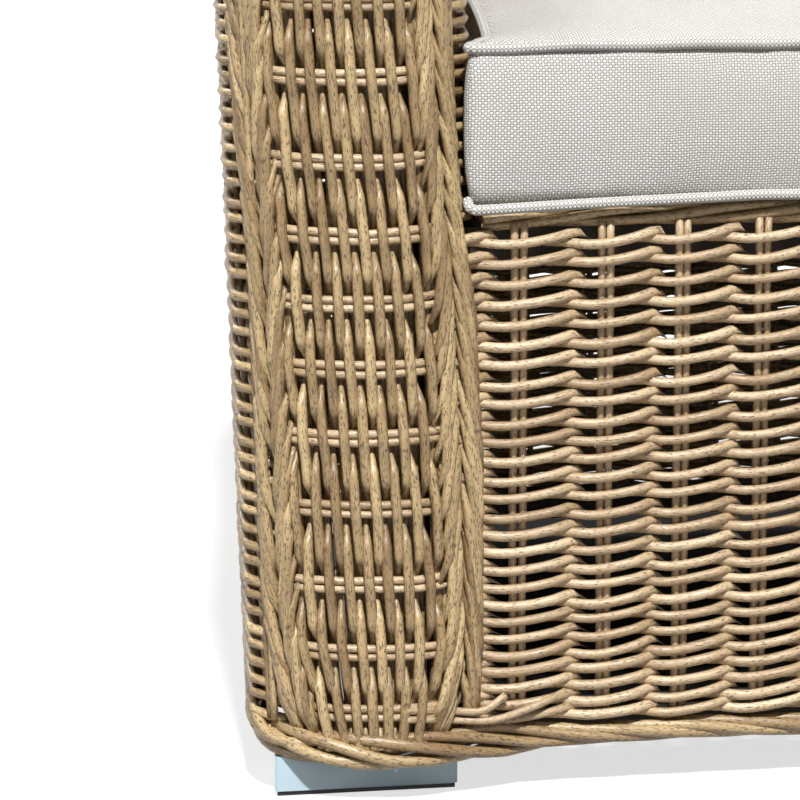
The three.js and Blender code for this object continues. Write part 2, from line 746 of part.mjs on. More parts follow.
// A front foot faces straight forward, and its sides run back along the arm.
const frontFootPlace = footPlace(
  vector(1, 0, 0),
  station(0).along,
  wallPoint(footSetback + footDepth / 2 - noseDepth, footOutward, 0),
);
const rearFootPlace = footPlace(
  station(cornerMiddle).along,
  station(cornerMiddle).out.clone().negate(),
  wallPoint(cornerMiddle, 0, 0),
);

// The hoop stands on the front foot, inside the arm's nose.
const hoopTop = armHeight - skin - tubeInset - tubeRadius;

function armHoop(name) {
  const shoulder = hoopTop - hoopShoulder;
  const up = spread(wallBottom + tubeRadius * armLean, shoulder, 3);
  const at = (across, z) => wallPoint(-hoopForward, across, z);
  const bend = spread(0, Math.PI, 8).map((angle) =>
    at(hoopHalf * Math.cos(angle), shoulder + hoopShoulder * Math.sin(angle)),
  );
  const legs = [up.map((z) => at(hoopHalf, z)), up.toReversed().map((z) => at(-hoopHalf, z))];
  return bentTube(name, [...legs[0].slice(0, -1), ...bend, ...legs[1].slice(1)], 26);
}

function armTopRail(name) {
  const start = tubeRadius + contact - hoopForward;
  const end = cornerMiddle - 2 * tubeRadius;
  const points = [...spread(start, armLength, 3), ...spread(armLength, end, 3).slice(1)];
  return bentTube(name, points.map((distance) => wallPoint(distance, 0, hoopTop)), 12);
}

const topRailHeight = backHeight - topRailDrop;
const cornerPost = (z) => wallPoint(cornerMiddle, 0, z);

// A post's lower end is square to its lean, which takes this much room above what it stands on.
function backPost(name, distance, bottom) {
  const room = tubeRadius * station(distance).lean;
  const top = topRailHeight - tubeRadius - contact;
  return bentTube(name, [wallPoint(distance, 0, bottom + room), wallPoint(distance, 0, top)], 2);
}

// Tube across the back from one corner post to the other.
function backTube(name, height, across) {
  const right = spread(cornerMiddle, armLength + cornerLength, 3).map((distance) =>
    wallPoint(distance, across, height),
  );
  const left = right.toReversed().map((p) => vector(-p.x, p.y, p.z));
  return bentTube(name, [...right, wallPoint(wallLength, across, height), ...left], 18);
}

const hoopLeg = (z) => wallPoint(-hoopForward, -hoopHalf, z);

// Rails that run across, from one hoop's inner leg to the other or between the corner posts. The
// posts lean outwards, so the rail's lower edge is the one that meets them.
function crossRail(name, post, z, tall) {
  const end = post(z - tall / 2).x - tubeRadius - contact;
  const y = post(z).y;
  return rail(name, vector(-end, y, z), vector(end, y, z), railSize, tall);
}

function addFrame(root) {
  const seatZ = railTop - railSize / 2;
  const baseZ = wallBottom + baseRailHeight / 2;
  root.add(crossRail("base_front_rail", hoopLeg, baseZ, baseRailHeight));
  root.add(crossRail("seat_front_rail", hoopLeg, seatZ, railSize));
  root.add(crossRail("seat_rear_rail", cornerPost, seatZ, railSize));

  const rearEnd = cornerCentre.x + postSide;
  const rearY = wallPoint(wallLength, 0, baseZ).y;
  const rearEnds = [-rearEnd, rearEnd].map((x) => vector(x, rearY, baseZ));
  root.add(rail("base_rear_rail", ...rearEnds, railSize, baseRailHeight));

  const front = hoopLeg(seatZ).y + railSize / 2 + contact;
  const rear = cornerPost(seatZ).y - railSize / 2 - contact;
  const half = innerLine(front, 0, seatZ);
  bearerShares.forEach((share, i) => {
    const ends = [front, rear].map((y) => vector(share * half, y, seatZ));
    root.add(rail(`seat_bearer_${i + 1}`, ...ends));
  });

  root.add(backPost("back_centre_post", wallLength, wallBottom + baseRailHeight + contact));
  root.add(backTube("back_top_rail", topRailHeight, 0));
  root.add(backTube("back_lumbar_rail", lumbarHeight, -2 * tubeRadius - contact));
}

function addSideFrame(half, side) {
  const seatZ = railTop - railSize / 2;
  const baseZ = wallBottom + baseRailHeight / 2;
  const squareEnd = contact + (railSize / 2) * Math.sin(armSplay);
  const front = hoopLeg(seatZ).y + railSize / 2 + squareEnd;
  const rear = cornerPost(seatZ).y - railSize / 2 - squareEnd;
  const seatEnds = [front, rear].map((y) => vector(innerLine(y, railSize / 2 + seam, seatZ), y, seatZ));
  half.add(rail(`seat_${side}_rail`, ...seatEnds));

  const base = wallPoint(0, 0, baseZ);
  const baseEnds = [-hoopForward, armLength + postSide].map((distance) =>
    base.clone().addScaledVector(station(0).along, distance),
  );
  half.add(rail(`base_${side}_rail`, ...baseEnds, railSize, baseRailHeight));
  half.add(armHoop(`arm_${side}_front_hoop`));
  half.add(armTopRail(`arm_${side}_top_rail`));
  half.add(backPost(`back_${side}_post`, cornerMiddle, wallBottom));
  half.add(footMesh(`front_${side}_foot`, frontFootPlace));
  half.add(glideMesh(`front_${side}_glide`, frontFootPlace));
  half.add(footMesh(`rear_${side}_foot`, rearFootPlace));
  half.add(glideMesh(`rear_${side}_glide`, rearFootPlace));
}

function addSideWeave(half, side) {
  half.add(named(`arm_${side}_outer_weave`, armOuterWeave(), materials.cane));
  half.add(named(`arm_${side}_inner_weave`, armInnerWeave(), materials.cane));
  half.add(named(`arm_${side}_top_weave`, armTopWeave(), materials.cane));
  half.add(named(`arm_${side}_front_weave`, armFrontWeave(), materials.cane));
  half.add(named(`arm_${side}_front_border`, armFrontBorder(), materials.cane));
  half.add(named(`base_${side}_border`, armBaseBorder(), materials.cane));
}

function addCushion(half, name, pieces) {
  half.add(named(`${name}_cover`, geometryOf(pieces.cover), materials.fabric));
  half.add(named(`${name}_core`, geometryOf(pieces.core), materials.foam));
  half.add(named(`${name}_zip_slider`, geometryOf(pieces.slider), materials.zip));
}

function addWeave(root) {
  root.add(named("apron_weave", apronWeave(), materials.cane));
  root.add(named("apron_top_border", apronTopBorder(), materials.cane));
  root.add(named("seat_deck_weave", deckWeave(), materials.cane));
  root.add(named("back_outer_weave", backOuterWeave(), materials.cane));
  root.add(named("back_inner_weave", backInnerWeave(), materials.cane));
  root.add(named("back_top_weave", backTopWeave(), materials.cane));
  root.add(named("base_front_border", baseFrontBorder(), materials.cane));
  root.add(named("base_rear_border", backBaseBorder(), materials.cane));
}

const sofa = new THREE.Group();
addWeave(sofa);
addFrame(sofa);
const seatPieces = seatCushion();
const backPieces = backCushion(seatPieces);
for (const [side, sign] of [["right", 1], ["left", -1]]) {
  const half = new THREE.Group();
  half.scale.x = sign;
  sofa.add(half);
  addSideWeave(half, side);
  addSideFrame(half, side);
  addCushion(half, `seat_cushion_${side}`, seatPieces);
  addCushion(half, `back_cushion_${side}`, backPieces);
}

// The origin goes under the middle of the sofa's overall box.
const middle = new THREE.Box3().setFromObject(sofa).getCenter(new THREE.Vector3());
sofa.position.set(-middle.x, -middle.y, 0);

export default sofa;
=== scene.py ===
import math

import bpy
import numpy as np
from mathutils import Matrix, Vector
from mathutils.bvhtree import BVHTree
from mathutils.kdtree import KDTree


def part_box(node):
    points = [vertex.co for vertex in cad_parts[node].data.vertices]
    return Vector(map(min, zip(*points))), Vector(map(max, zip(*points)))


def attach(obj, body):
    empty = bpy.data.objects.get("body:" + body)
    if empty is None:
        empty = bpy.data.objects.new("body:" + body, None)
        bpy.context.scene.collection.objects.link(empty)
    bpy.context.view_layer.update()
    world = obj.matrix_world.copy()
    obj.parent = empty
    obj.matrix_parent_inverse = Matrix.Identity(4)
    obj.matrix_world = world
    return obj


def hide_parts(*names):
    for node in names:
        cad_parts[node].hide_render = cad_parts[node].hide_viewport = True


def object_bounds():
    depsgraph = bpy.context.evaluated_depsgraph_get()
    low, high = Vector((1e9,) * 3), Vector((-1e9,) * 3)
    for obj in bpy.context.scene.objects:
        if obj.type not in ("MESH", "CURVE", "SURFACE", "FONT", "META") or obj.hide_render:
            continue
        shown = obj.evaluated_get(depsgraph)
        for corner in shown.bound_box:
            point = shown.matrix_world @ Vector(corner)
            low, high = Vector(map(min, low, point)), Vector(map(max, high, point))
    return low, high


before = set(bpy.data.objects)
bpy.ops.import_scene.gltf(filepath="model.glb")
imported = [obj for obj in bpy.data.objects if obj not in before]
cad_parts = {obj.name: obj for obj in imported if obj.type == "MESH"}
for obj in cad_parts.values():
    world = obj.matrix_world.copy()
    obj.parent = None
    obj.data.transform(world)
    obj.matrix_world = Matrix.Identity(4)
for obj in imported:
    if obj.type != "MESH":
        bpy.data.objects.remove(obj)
cad_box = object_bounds()
scene = bpy.context.scene

MM = 0.001
TINY = 1e-12
ROUNDING = 1e-6
UP = np.array([0.0, 0.0, 1.0])
FRONTWARD = np.array([0.0, -1.0, 0.0])

# The woven wall, as in the part
ARM_SPREAD = 690 * MM
ARM_SPLAY = math.radians(9)
ARM_LENGTH = 500 * MM
CORNER_RADIUS = 135 * MM
ARM_HALF = 73 * MM
BACK_HALF = 60 * MM
ARM_HEIGHT = 610 * MM
BACK_HEIGHT = 830 * MM
SWEEP_LENGTH = 190 * MM
ARM_LEAN = 0.0386
BACK_LEAN = 0.12
TOP_RISE = 60 * MM
NOSE_DEPTH = 70 * MM
ROUNDNESS = 2.6
BORDER_SHARE = 0.88
WALL_BOTTOM = 24.9 * MM
SKIN_BOTTOM = 53.3 * MM
DECK_BOTTOM = 342 * MM
SEAT_HEIGHT = 352 * MM
SKIN_INSET = 3.2 * MM  # from the wall's outside to the middle of its woven skin
INNER_INSET = 8.5 * MM  # from its inside, where the cushions lie against it

CORNER_TURN = math.pi / 2 - ARM_SPLAY
CORNER_LENGTH = CORNER_RADIUS * CORNER_TURN
CORNER_X = ARM_SPREAD - ARM_LENGTH * math.sin(ARM_SPLAY) - CORNER_RADIUS * math.cos(ARM_SPLAY)
CORNER_Y = ARM_LENGTH * math.cos(ARM_SPLAY) - CORNER_RADIUS * math.sin(ARM_SPLAY)
WALL_LENGTH = ARM_LENGTH + CORNER_LENGTH + CORNER_X
SHOULDER = ARM_HEIGHT - TOP_RISE


def smooth(share):
    share = np.clip(share, 0, 1)
    return share * share * (3 - 2 * share)


def unit(vectors):
    return vectors / (np.linalg.norm(vectors, axis=-1, keepdims=True) + TINY)


def lengths_along(points):
    return np.concatenate([[0], np.cumsum(np.linalg.norm(np.diff(points, axis=0), axis=1))])


def read_along(table, lengths, at):
    """The table's rows, which stand at these lengths, read at others."""
    return np.stack([np.interp(at, lengths, column) for column in table.T], 1)


def nose_forward(level):
    return NOSE_DEPTH * np.maximum(1 - np.abs(level) ** ROUNDNESS, 0) ** (1 / ROUNDNESS)


# The wall's distances are measured along its centreline, from the arm's front to the middle of the
# back. Its frame there is a point at floor level, the way out of the sofa and the way along.
def station(distance):
    past_arm = distance - ARM_LENGTH
    angle = ARM_SPLAY + np.clip(past_arm / CORNER_RADIUS, 0, CORNER_TURN)
    out = np.stack([np.cos(angle), np.sin(angle)], -1)
    along = np.stack([-np.sin(angle), np.cos(angle)], -1)
    straight = np.minimum(past_arm, 0) + np.maximum(past_arm - CORNER_LENGTH, 0)
    point = np.array([CORNER_X, CORNER_Y]) + out * CORNER_RADIUS + along * straight[..., None]
    turned = smooth(past_arm / CORNER_LENGTH)
    half = ARM_HALF + (BACK_HALF - ARM_HALF) * turned
    lean = ARM_LEAN + (BACK_LEAN - ARM_LEAN) * turned
    return point, out, along, half, lean


def wall_height(distance):
    climb_start = ARM_LENGTH - SWEEP_LENGTH
    climb = smooth((distance - climb_start) / (SWEEP_LENGTH + CORNER_LENGTH))
    return ARM_HEIGHT + (BACK_HEIGHT - ARM_HEIGHT) * climb


# How far back the part's origin lies from the arms' front ends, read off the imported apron
APRON_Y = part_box("apron_weave")[0].y
NOSE_SIDE = -BORDER_SHARE * ARM_HALF
RAW_APRON_Y = NOSE_SIDE * math.sin(ARM_SPLAY) - nose_forward(BORDER_SHARE) * math.cos(ARM_SPLAY)
ORIGIN_BACK = RAW_APRON_Y - APRON_Y


def wall_frame(place):
    """Point at floor level, way out, half thickness, lean and level at places along the wall.
    Places below 0 are levels on the nose less 1, so -0.12 is level 0.88."""
    level = np.where(place < 0, 1 + place, 1)
    point, out, along, half, lean = station(np.maximum(place, 0))
    forward = np.where(place < 0, nose_forward(level), 0)
    return point - along * forward[:, None], out, half * level, lean, level


def finish_points(xy, z, mirror):
    xyz = np.concatenate([xy, np.broadcast_to(z, xy.shape[:-1])[..., None]], -1)
    xyz[..., 1] -= ORIGIN_BACK
    xyz[..., 0] *= mirror
    return xyz


class Surface:
    """A grid of points that is read at (u, v), in metres along and up, and lifted by a height."""

    def __init__(self, us, vs, points, outward):
        self.us, self.vs, self.points = us, vs, points
        normals = unit(np.cross(np.gradient(points, axis=0), np.gradient(points, axis=1)))
        way = normals[len(us) // 2, len(vs) // 2] @ np.asarray(outward)
        self.normals = -normals if way < 0 else normals

    def read(self, table, u, v):
        i = np.clip(np.searchsorted(self.us, u, side="right") - 1, 0, len(self.us) - 2)
        j = np.clip(np.searchsorted(self.vs, v, side="right") - 1, 0, len(self.vs) - 2)
        a = ((u - self.us[i]) / (self.us[i + 1] - self.us[i]))[..., None]
        b = ((v - self.vs[j]) / (self.vs[j + 1] - self.vs[j]))[..., None]
        low = table[i, j] * (1 - a) + table[i + 1, j] * a
        high = table[i, j + 1] * (1 - a) + table[i + 1, j + 1] * a
        return low * (1 - b) + high * b

    def at(self, u, v, height=0.0):
        u, v, height = np.broadcast_arrays(u, v, height)
        normal = unit(self.read(self.normals, u, v))
        return self.read(self.points, u, v) + normal * height[..., None], normal


SKIN_LEVELS = 9
ARCH_POINTS = 49


def skin_surface(places, side, mirror, low, high):
    """Upright skin on one side of the wall. side is 1 outside and -1 inside."""
    base, out, half, lean, level = wall_frame(places)
    inset = (SKIN_INSET if side > 0 else INNER_INSET) * level
    zs = np.linspace(low, high, SKIN_LEVELS)
    across = side * (half - inset)[:, None] + lean[:, None] * zs
    points = finish_points(base[:, None] + out[:, None] * across[..., None], zs, mirror)
    outward = out[len(places) // 2] * [side * mirror, side]
    return Surface(lengths_along(points[:, SKIN_LEVELS // 2]), zs, points, (*outward, 0))


def half_turn(count):
    """Shares across and up along the section of the wall's top, from its outer shoulder over."""
    angle = np.linspace(0, math.pi, count)
    across = np.sign(np.cos(angle)) * np.abs(np.cos(angle)) ** (2 / ROUNDNESS)
    return across, np.abs(np.sin(angle)) ** (2 / ROUNDNESS)


def arch_surface(places, mirror):
    """The rounded top of the wall, from its outer shoulder over to its inner one."""
    base, out, half, lean, level = wall_frame(places)
    across, rise = half_turn(ARCH_POINTS)
    inset = level[:, None] * np.where(across > 0, SKIN_INSET, INNER_INSET)
    xs = (half[:, None] - inset) * across
    zs = wall_height(np.maximum(places, 0))[:, None] - TOP_RISE
    zs = zs + (TOP_RISE - SKIN_INSET) * level[:, None] * rise
    xy = base[:, None] + out[:, None] * (xs + lean[:, None] * zs)[..., None]
    points = finish_points(xy, zs, mirror)
    section = np.stack([across * (ARM_HALF - SKIN_INSET), rise * (TOP_RISE - SKIN_INSET)], 1)
    return Surface(lengths_along(points[:, ARCH_POINTS // 2]), lengths_along(section), points, UP)


def nose_point(across, z, inset, mirror):
    point, out, along, _, lean = station(np.zeros(1))
    above = np.maximum(z - SHOULDER, 0) / (TOP_RISE - inset)
    level = np.abs(across / (ARM_HALF - inset)) ** ROUNDNESS + above ** ROUNDNESS
    forward = (NOSE_DEPTH - inset) * np.maximum(1 - level, 0) ** (1 / ROUNDNESS)
    xy = point[0] - along[0] * forward[..., None] + out[0] * (across + lean[0] * z)[..., None]
    return finish_points(xy, z, mirror)


SWAY = 4.5 * MM  # the arm's front leans out this much more, above the seat
SWAY_START = 310 * MM
SWAY_LENGTH = 150 * MM
FRONT_REACH_SHARE = 0.97  # of the arm's half thickness


def sway(z):
    return SWAY * smooth((z - SWAY_START) / SWAY_LENGTH)


def front_surface(mirror, inset):
    """The arm's front, read at a place across it and a height."""
    us = FRONT_REACH_SHARE * ARM_HALF * np.linspace(-1, 1, 41)
    vs = np.concatenate([np.linspace(WALL_BOTTOM, SHOULDER, 24), np.linspace(SHOULDER, ARM_HEIGHT, 14)[1:]])
    u, v = np.meshgrid(us, vs, indexing="ij")
    keep = np.minimum(v, ARM_HEIGHT - 2 * inset)
    points = nose_point(u * (1 - inset / ARM_HALF) + sway(keep), keep, inset, mirror)
    points[..., 2] = v
    return Surface(us, vs, points, FRONTWARD)


LAP_PROUD = 3 * MM  # how far the plait stands in front of the apron's ends
LAP_DROP = 2 * MM  # below the seat's height it starts to
LAP_LENGTH = 16 * MM  # and over this length it comes forward
BORDER_START_SHARE = 0.63  # level of the plait's inner edge
# Levels of its outer edge at heights, on its leg beside the arm's outside and on the one beside the seat
OUTER_HEIGHTS = np.array([55, 70, 121, 310, 393, 478]) * MM
OUTER_LEVEL_SHARES = 0.76, 0.79, 0.9, 0.88, 0.91, 0.92
INNER_HEIGHTS = np.array([53, 200, 300, 345]) * MM
INNER_LEVEL_SHARES = 0.91, 0.98, 0.965, 0.9
FOOT_NARROW_SHARE = 0.24  # the arm's front narrows this much towards the base rope
FAN_TOP = 100 * MM
FAN_LENGTH = 60 * MM
LEG_POINTS = 39
OVER_POINTS = 61
BORDER_LINES = 13


def foot_fan(z):
    """0 above the foot of the arm's front and 1 at the base rope."""
    return np.clip((FAN_TOP - z) / FAN_LENGTH, 0, 1)


def border_surface(mirror, inset):
    """The arm front's edge: u runs up the outer leg, over the top and down the inner leg, and v runs
    from the panel's edge outwards."""
    legs = np.linspace(WALL_BOTTOM, SHOULDER, LEG_POINTS + 1)[:-1]
    across, rise = half_turn(OVER_POINTS)
    half = ARM_HALF - inset
    heights = np.concatenate([legs, np.full(OVER_POINTS, SHOULDER), legs[::-1]])
    inner_share = smooth((np.arange(len(heights)) - LEG_POINTS) / (OVER_POINTS - 1))
    low = BORDER_START_SHARE * (1 - FOOT_NARROW_SHARE * foot_fan(heights))
    high = np.interp(heights, OUTER_HEIGHTS, OUTER_LEVEL_SHARES) * (1 - inner_share)
    high = high + np.interp(heights, INNER_HEIGHTS, INNER_LEVEL_SHARES) * inner_share
    lines = []
    for share in np.linspace(0, 1, BORDER_LINES):
        level = low + (high - low) * share
        x = half * level * np.concatenate([np.ones(LEG_POINTS), across, -np.ones(LEG_POINTS)])
        top = SHOULDER + (TOP_RISE - inset) * level[LEG_POINTS:-LEG_POINTS] * rise
        z = np.concatenate([legs, top, legs[::-1]])
        over = smooth((SEAT_HEIGHT - LAP_DROP - z) / LAP_LENGTH) * (x < 0)
        edge = nose_point(x + sway(z), z, inset, mirror)
        edge[:, 1] += over * (np.minimum(edge[:, 1], APRON_Y - LAP_PROUD) - edge[:, 1])
        lines.append(edge)
    points = np.stack(lines, 1)
    us = lengths_along(points[:, BORDER_LINES // 2])
    return Surface(us, lengths_along(points[LEG_POINTS // 2 + 1]), points, UP)


# Canes

EVEN_SHARES = 0.95, 1.05  # how much canes differ in thickness
UNEVEN_SHARES = 0.93, 1.07
WANDER_KNOT = 40 * MM
BAKE_MARGIN_SHARE = 0.1
# Corners of a cane's or cord's section
WALL_SIDES = 6
EDGE_SIDES = 8
FRONT_SIDES = 10
CORD_SIDES = 12
# Starts of the random draws
SIDE_SEED = 31
ROPE_SEED = 5
APRON_SEED = 11
SEAT_SEED = 41
BACK_SEED = 43
SEAT_CORD_SEED = 50
BACK_CORD_SEED = 60
BACK_CORD_TINT_SEED = 51
TAPE_SEED = 71
TEETH_SEED = 72


def flat(values, kind=np.float32):
    return np.concatenate(values).astype(kind).ravel()


def tube_mesh(name, strands, sides, seed):
    """Round canes along the given paths, as one mesh. A strand is (points, normals, radius)."""
    rng = np.random.default_rng(seed)
    ring = np.arange(sides)
    turn = (ring * 2 * math.pi / sides)[:, None]
    verts, loops, totals, cane_uv, bake_uv, tints = [], [], [], [], [], []
    first = 0
    longest = max(lengths_along(points)[-1] for points, normals, radius in strands)
    for k, (points, normals, radius) in enumerate(strands):
        count = len(points)
        tangents = unit(np.gradient(points, axis=0))
        sideways = unit(np.cross(tangents, normals))
        up = np.cross(sideways, tangents)
        offsets = up[:, None] * np.cos(turn) + sideways[:, None] * np.sin(turn)
        wide = np.broadcast_to(radius, (count,))[:, None, None]
        verts.append((points[:, None] + offsets * wide).reshape(-1, 3))
        i, j = np.meshgrid(np.arange(count - 1), ring, indexing="ij")
        n = (j + 1) % sides
        quads = np.stack([i * sides + j, i * sides + n, (i + 1) * sides + n, (i + 1) * sides + j], -1)
        caps = np.stack([ring[::-1], (count - 1) * sides + ring])
        loops += [quads.ravel() + first, caps.ravel() + first]
        totals += [np.full(i.size, 4), np.full(2, sides)]
        length = lengths_along(points)
        along = np.stack([length[i], length[i], length[i + 1], length[i + 1]], -1)
        along = np.concatenate([along.ravel(), np.repeat(length[[0, -1]], sides)])
        around = np.stack([j, j + 1, j + 1, j], -1) / sides
        around = np.concatenate([around.ravel(), np.tile(ring / sides, 2)])
        lane = k + BAKE_MARGIN_SHARE + (1 - 2 * BAKE_MARGIN_SHARE) * around
        cane_uv.append(np.stack([along, around], 1))
        bake_uv.append(np.stack([along / longest, lane / len(strands)], 1))
        tints.append(np.full(count * sides, rng.random()))
        first += count * sides
    totals = flat(totals, np.int32)
    mesh = bpy.data.meshes.new(name)
    mesh.vertices.add(first)
    mesh.vertices.foreach_set("co", flat(verts))
    mesh.loops.add(totals.sum())
    mesh.loops.foreach_set("vertex_index", flat(loops, np.int32))
    mesh.polygons.add(len(totals))
    mesh.polygons.foreach_set("loop_start", np.cumsum(totals, dtype=np.int32) - totals)
    mesh.polygons.foreach_set("loop_total", totals)
    mesh.polygons.foreach_set("use_smooth", totals == 4)
    for label, values in (("OFBake", bake_uv), ("Cane", cane_uv)):
        mesh.uv_layers.new(name=label).data.foreach_set("uv", flat(values))
    mesh.attributes.new("tint", "FLOAT", "POINT").data.foreach_set("value", flat(tints))
    mesh.update(calc_edges=True)
    mesh.validate()
    return mesh


def add_object(name, data):
    thing = bpy.data.objects.new(name, data)
    scene.collection.objects.link(thing)
    return thing


def strand_mesh(name, strands, sides, material, body, seed):
    """Canes or cords as one piece that rides on a body."""
    piece = add_object(name, tube_mesh(name, strands, sides, seed))
    piece.data.materials.append(material)
    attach(piece, body)
    return piece


def wander(rng, count, step, amount):
    """A slow random drift along a cane, read at count places a step apart."""
    knots = rng.normal(0, amount, max(int(count * step / WANDER_KNOT) + 4, 4))
    return np.interp(np.linspace(0, len(knots) - 1, count), np.arange(len(knots)), knots)


STAKE_PITCH = 50 * MM
STAKE_RADIUS = 2.5 * MM
STAKE_GAP = 5.1 * MM  # between the two canes of a stake
STAKE_STEP = 12 * MM
STAKE_WANDER = 0.3 * MM
ROW_PITCH = 10.3 * MM
ROW_WANDER = 0.45 * MM
DEPTH_WANDER = 0.3 * MM
SHORTEST_ROW = 8 * MM
TWINE_RADIUS = 2.95 * MM
TWINE_DEPTH = 5.3 * MM  # how far a twining cane stands off the stakes
FRONT_GAIN = 1.35  # a cane stays in front or behind for longer than it crosses over

# A wale: three canes a row, each in front of two stakes and behind the next
WALE_CANES = 3
WALE_LEAD = 0.5
WALE_TWIST = 2.6 * MM  # how far its canes pass above and below each other
WALE_DROP = 5 * MM  # how much lower than its front canes the hidden ones run

# A pair: two canes a row, each in front of one stake and behind the next
BOW_HALF = 0.65 * math.pi  # of a turn on which a pair's cane shows, a bow in front of a stake
BOW_RISE = 1.9 * MM  # its ends lie this much above and below the row
BOW_DROOP = 3.6 * MM  # its middle lies this much below them
BOW_TIP = 0.35  # radians of the turn by which the bow's upper end stays longer in front
BOW_LEAD = 0.2
BOW_END = 0.13 * math.pi  # of a turn in which a bow runs to a point
HIDDEN_THIN_SHARE = 0.98
HIDDEN_DROP = 2 * MM  # of a bow behind the stakes

# The arm's outer rows bend down and dive under the plait at the arm's front
FLANK_TUCK = 13 * MM
FLANK_TUCK_END = 20 * MM
FLANK_DROP = 15 * MM
SWEPT = 180 * MM  # height up to which the rows bend fully
SWEPT_MORE = 240 * MM  # further height over which they straighten
FLANK_END = 85 * MM  # beside the arm's front only one cane of each row shows, up to here
FLANK_WOVEN_SHARE = 0.6  # of that length, from which on the other canes come in
TOP_ROW_GAP = 3 * MM  # between the shoulder's line and the rows on both sides of it
SHOULDER_TUCK = 12 * MM  # a row above the arm starts this far inside the top's weave

# How far a row's canes hang between stakes changes from row to row
SAG = 0.55 * MM
SAG_CHANGE = 1.1 * MM
SAG_TURN = 2.3 / (10 * MM)


def bow(phase, droop):
    """Height, depth share and thickness share of a pair's cane. In front of a stake it hangs in a bow
    whose upper end lies over the next bow, and behind the next stake the other cane's bow hides it."""
    turn = (phase + math.pi) % (2 * math.pi) - math.pi
    shown = np.clip(turn / BOW_HALF, -1, 1) * math.pi / 2
    hidden = np.clip((np.abs(turn) - BOW_HALF) / (math.pi - BOW_HALF), 0, 1)
    front = np.clip(FRONT_GAIN * np.cos(turn - BOW_TIP) + BOW_LEAD, -1, 1)
    rise = BOW_RISE * np.sin(shown) * (1 - hidden)
    hang = droop * (np.cos(shown) + np.sin(hidden * math.pi / 2))
    thin = smooth((np.abs(turn) - BOW_HALF) / BOW_END)
    return rise - hang - HIDDEN_DROP * smooth(-front), front, 1 - HIDDEN_THIN_SHARE * thin


def wale(phase, flank_phase, sag, woven):
    """The same for a wale's cane. Where it isn't woven yet, the cane that is nearest shows alone."""
    front = np.clip((np.cos(phase) + WALE_LEAD) * FRONT_GAIN, -1, 1)
    nearest = 1 if math.cos(flank_phase) > math.cos(math.pi / WALE_CANES) else -1
    front = nearest * (1 - woven) + front * woven
    twist = WALE_TWIST * np.sin(phase) * woven
    return twist - sag * np.maximum(front, 0) ** 2 - WALE_DROP * (1 - front) / 2, front, 1.0


def twined(surface, rows, rng, span, origin, step, canes=WALE_CANES, flank=False, radius=TWINE_RADIUS):
    """Rows of canes that twist round each other between stakes. span(row) gives a row's ends."""
    def phase_at(s, k):
        return 2 * math.pi * ((s - origin) / (canes * STAKE_PITCH) + k / canes)

    strands = []
    for row in rows:
        low, high = span(row)
        if high - low < SHORTEST_ROW:
            continue
        count = int((high - low) / step) + 2
        s = np.linspace(low, high, count)
        sag = SAG + SAG_CHANGE * math.sin(row * SAG_TURN)
        woven = smooth((s / FLANK_END - FLANK_WOVEN_SHARE) / (1 - FLANK_WOVEN_SHARE)) if flank else 1.0
        for k in range(canes):
            if canes == WALE_CANES:
                offset, front, thickness = wale(phase_at(s, k), phase_at(FLANK_END, k), sag, woven)
            else:
                offset, front, thickness = bow(phase_at(s, k), BOW_DROOP + sag / 2)
            v = row + offset + wander(rng, count, step, ROW_WANDER)
            height = TWINE_DEPTH * front + wander(rng, count, step, DEPTH_WANDER)
            if flank:
                height = height - FLANK_TUCK * (1 - smooth(s / FLANK_TUCK_END))
                v = v - FLANK_DROP * (1 - smooth(s / FLANK_END)) * (1 - smooth((row - SWEPT) / SWEPT_MORE))
            strands.append((*surface.at(s, v, height), radius * rng.uniform(*UNEVEN_SHARES) * thickness))
    return strands


def stakes(surface, start, end, bottom, top, rng, origin, step=STAKE_STEP):
    """Pairs of upright canes. bottom and top give the heights at a place along the panel."""
    strands = []
    first = math.ceil((start - origin) / STAKE_PITCH - ROUNDING)
    last = math.floor((end - origin) / STAKE_PITCH + ROUNDING)
    for k in range(first, last + 1):
        for twin in (-0.5, 0.5):
            s = origin + k * STAKE_PITCH + twin * STAKE_GAP
            low, high = bottom(s), top(s)
            count = int((high - low) / step) + 3
            u = s + wander(rng, count, step, STAKE_WANDER)
            points, normals = surface.at(np.clip(u, start, end), np.linspace(low, high, count))
            strands.append((points, normals, STAKE_RADIUS * rng.uniform(*EVEN_SHARES)))
    return strands


# Materials

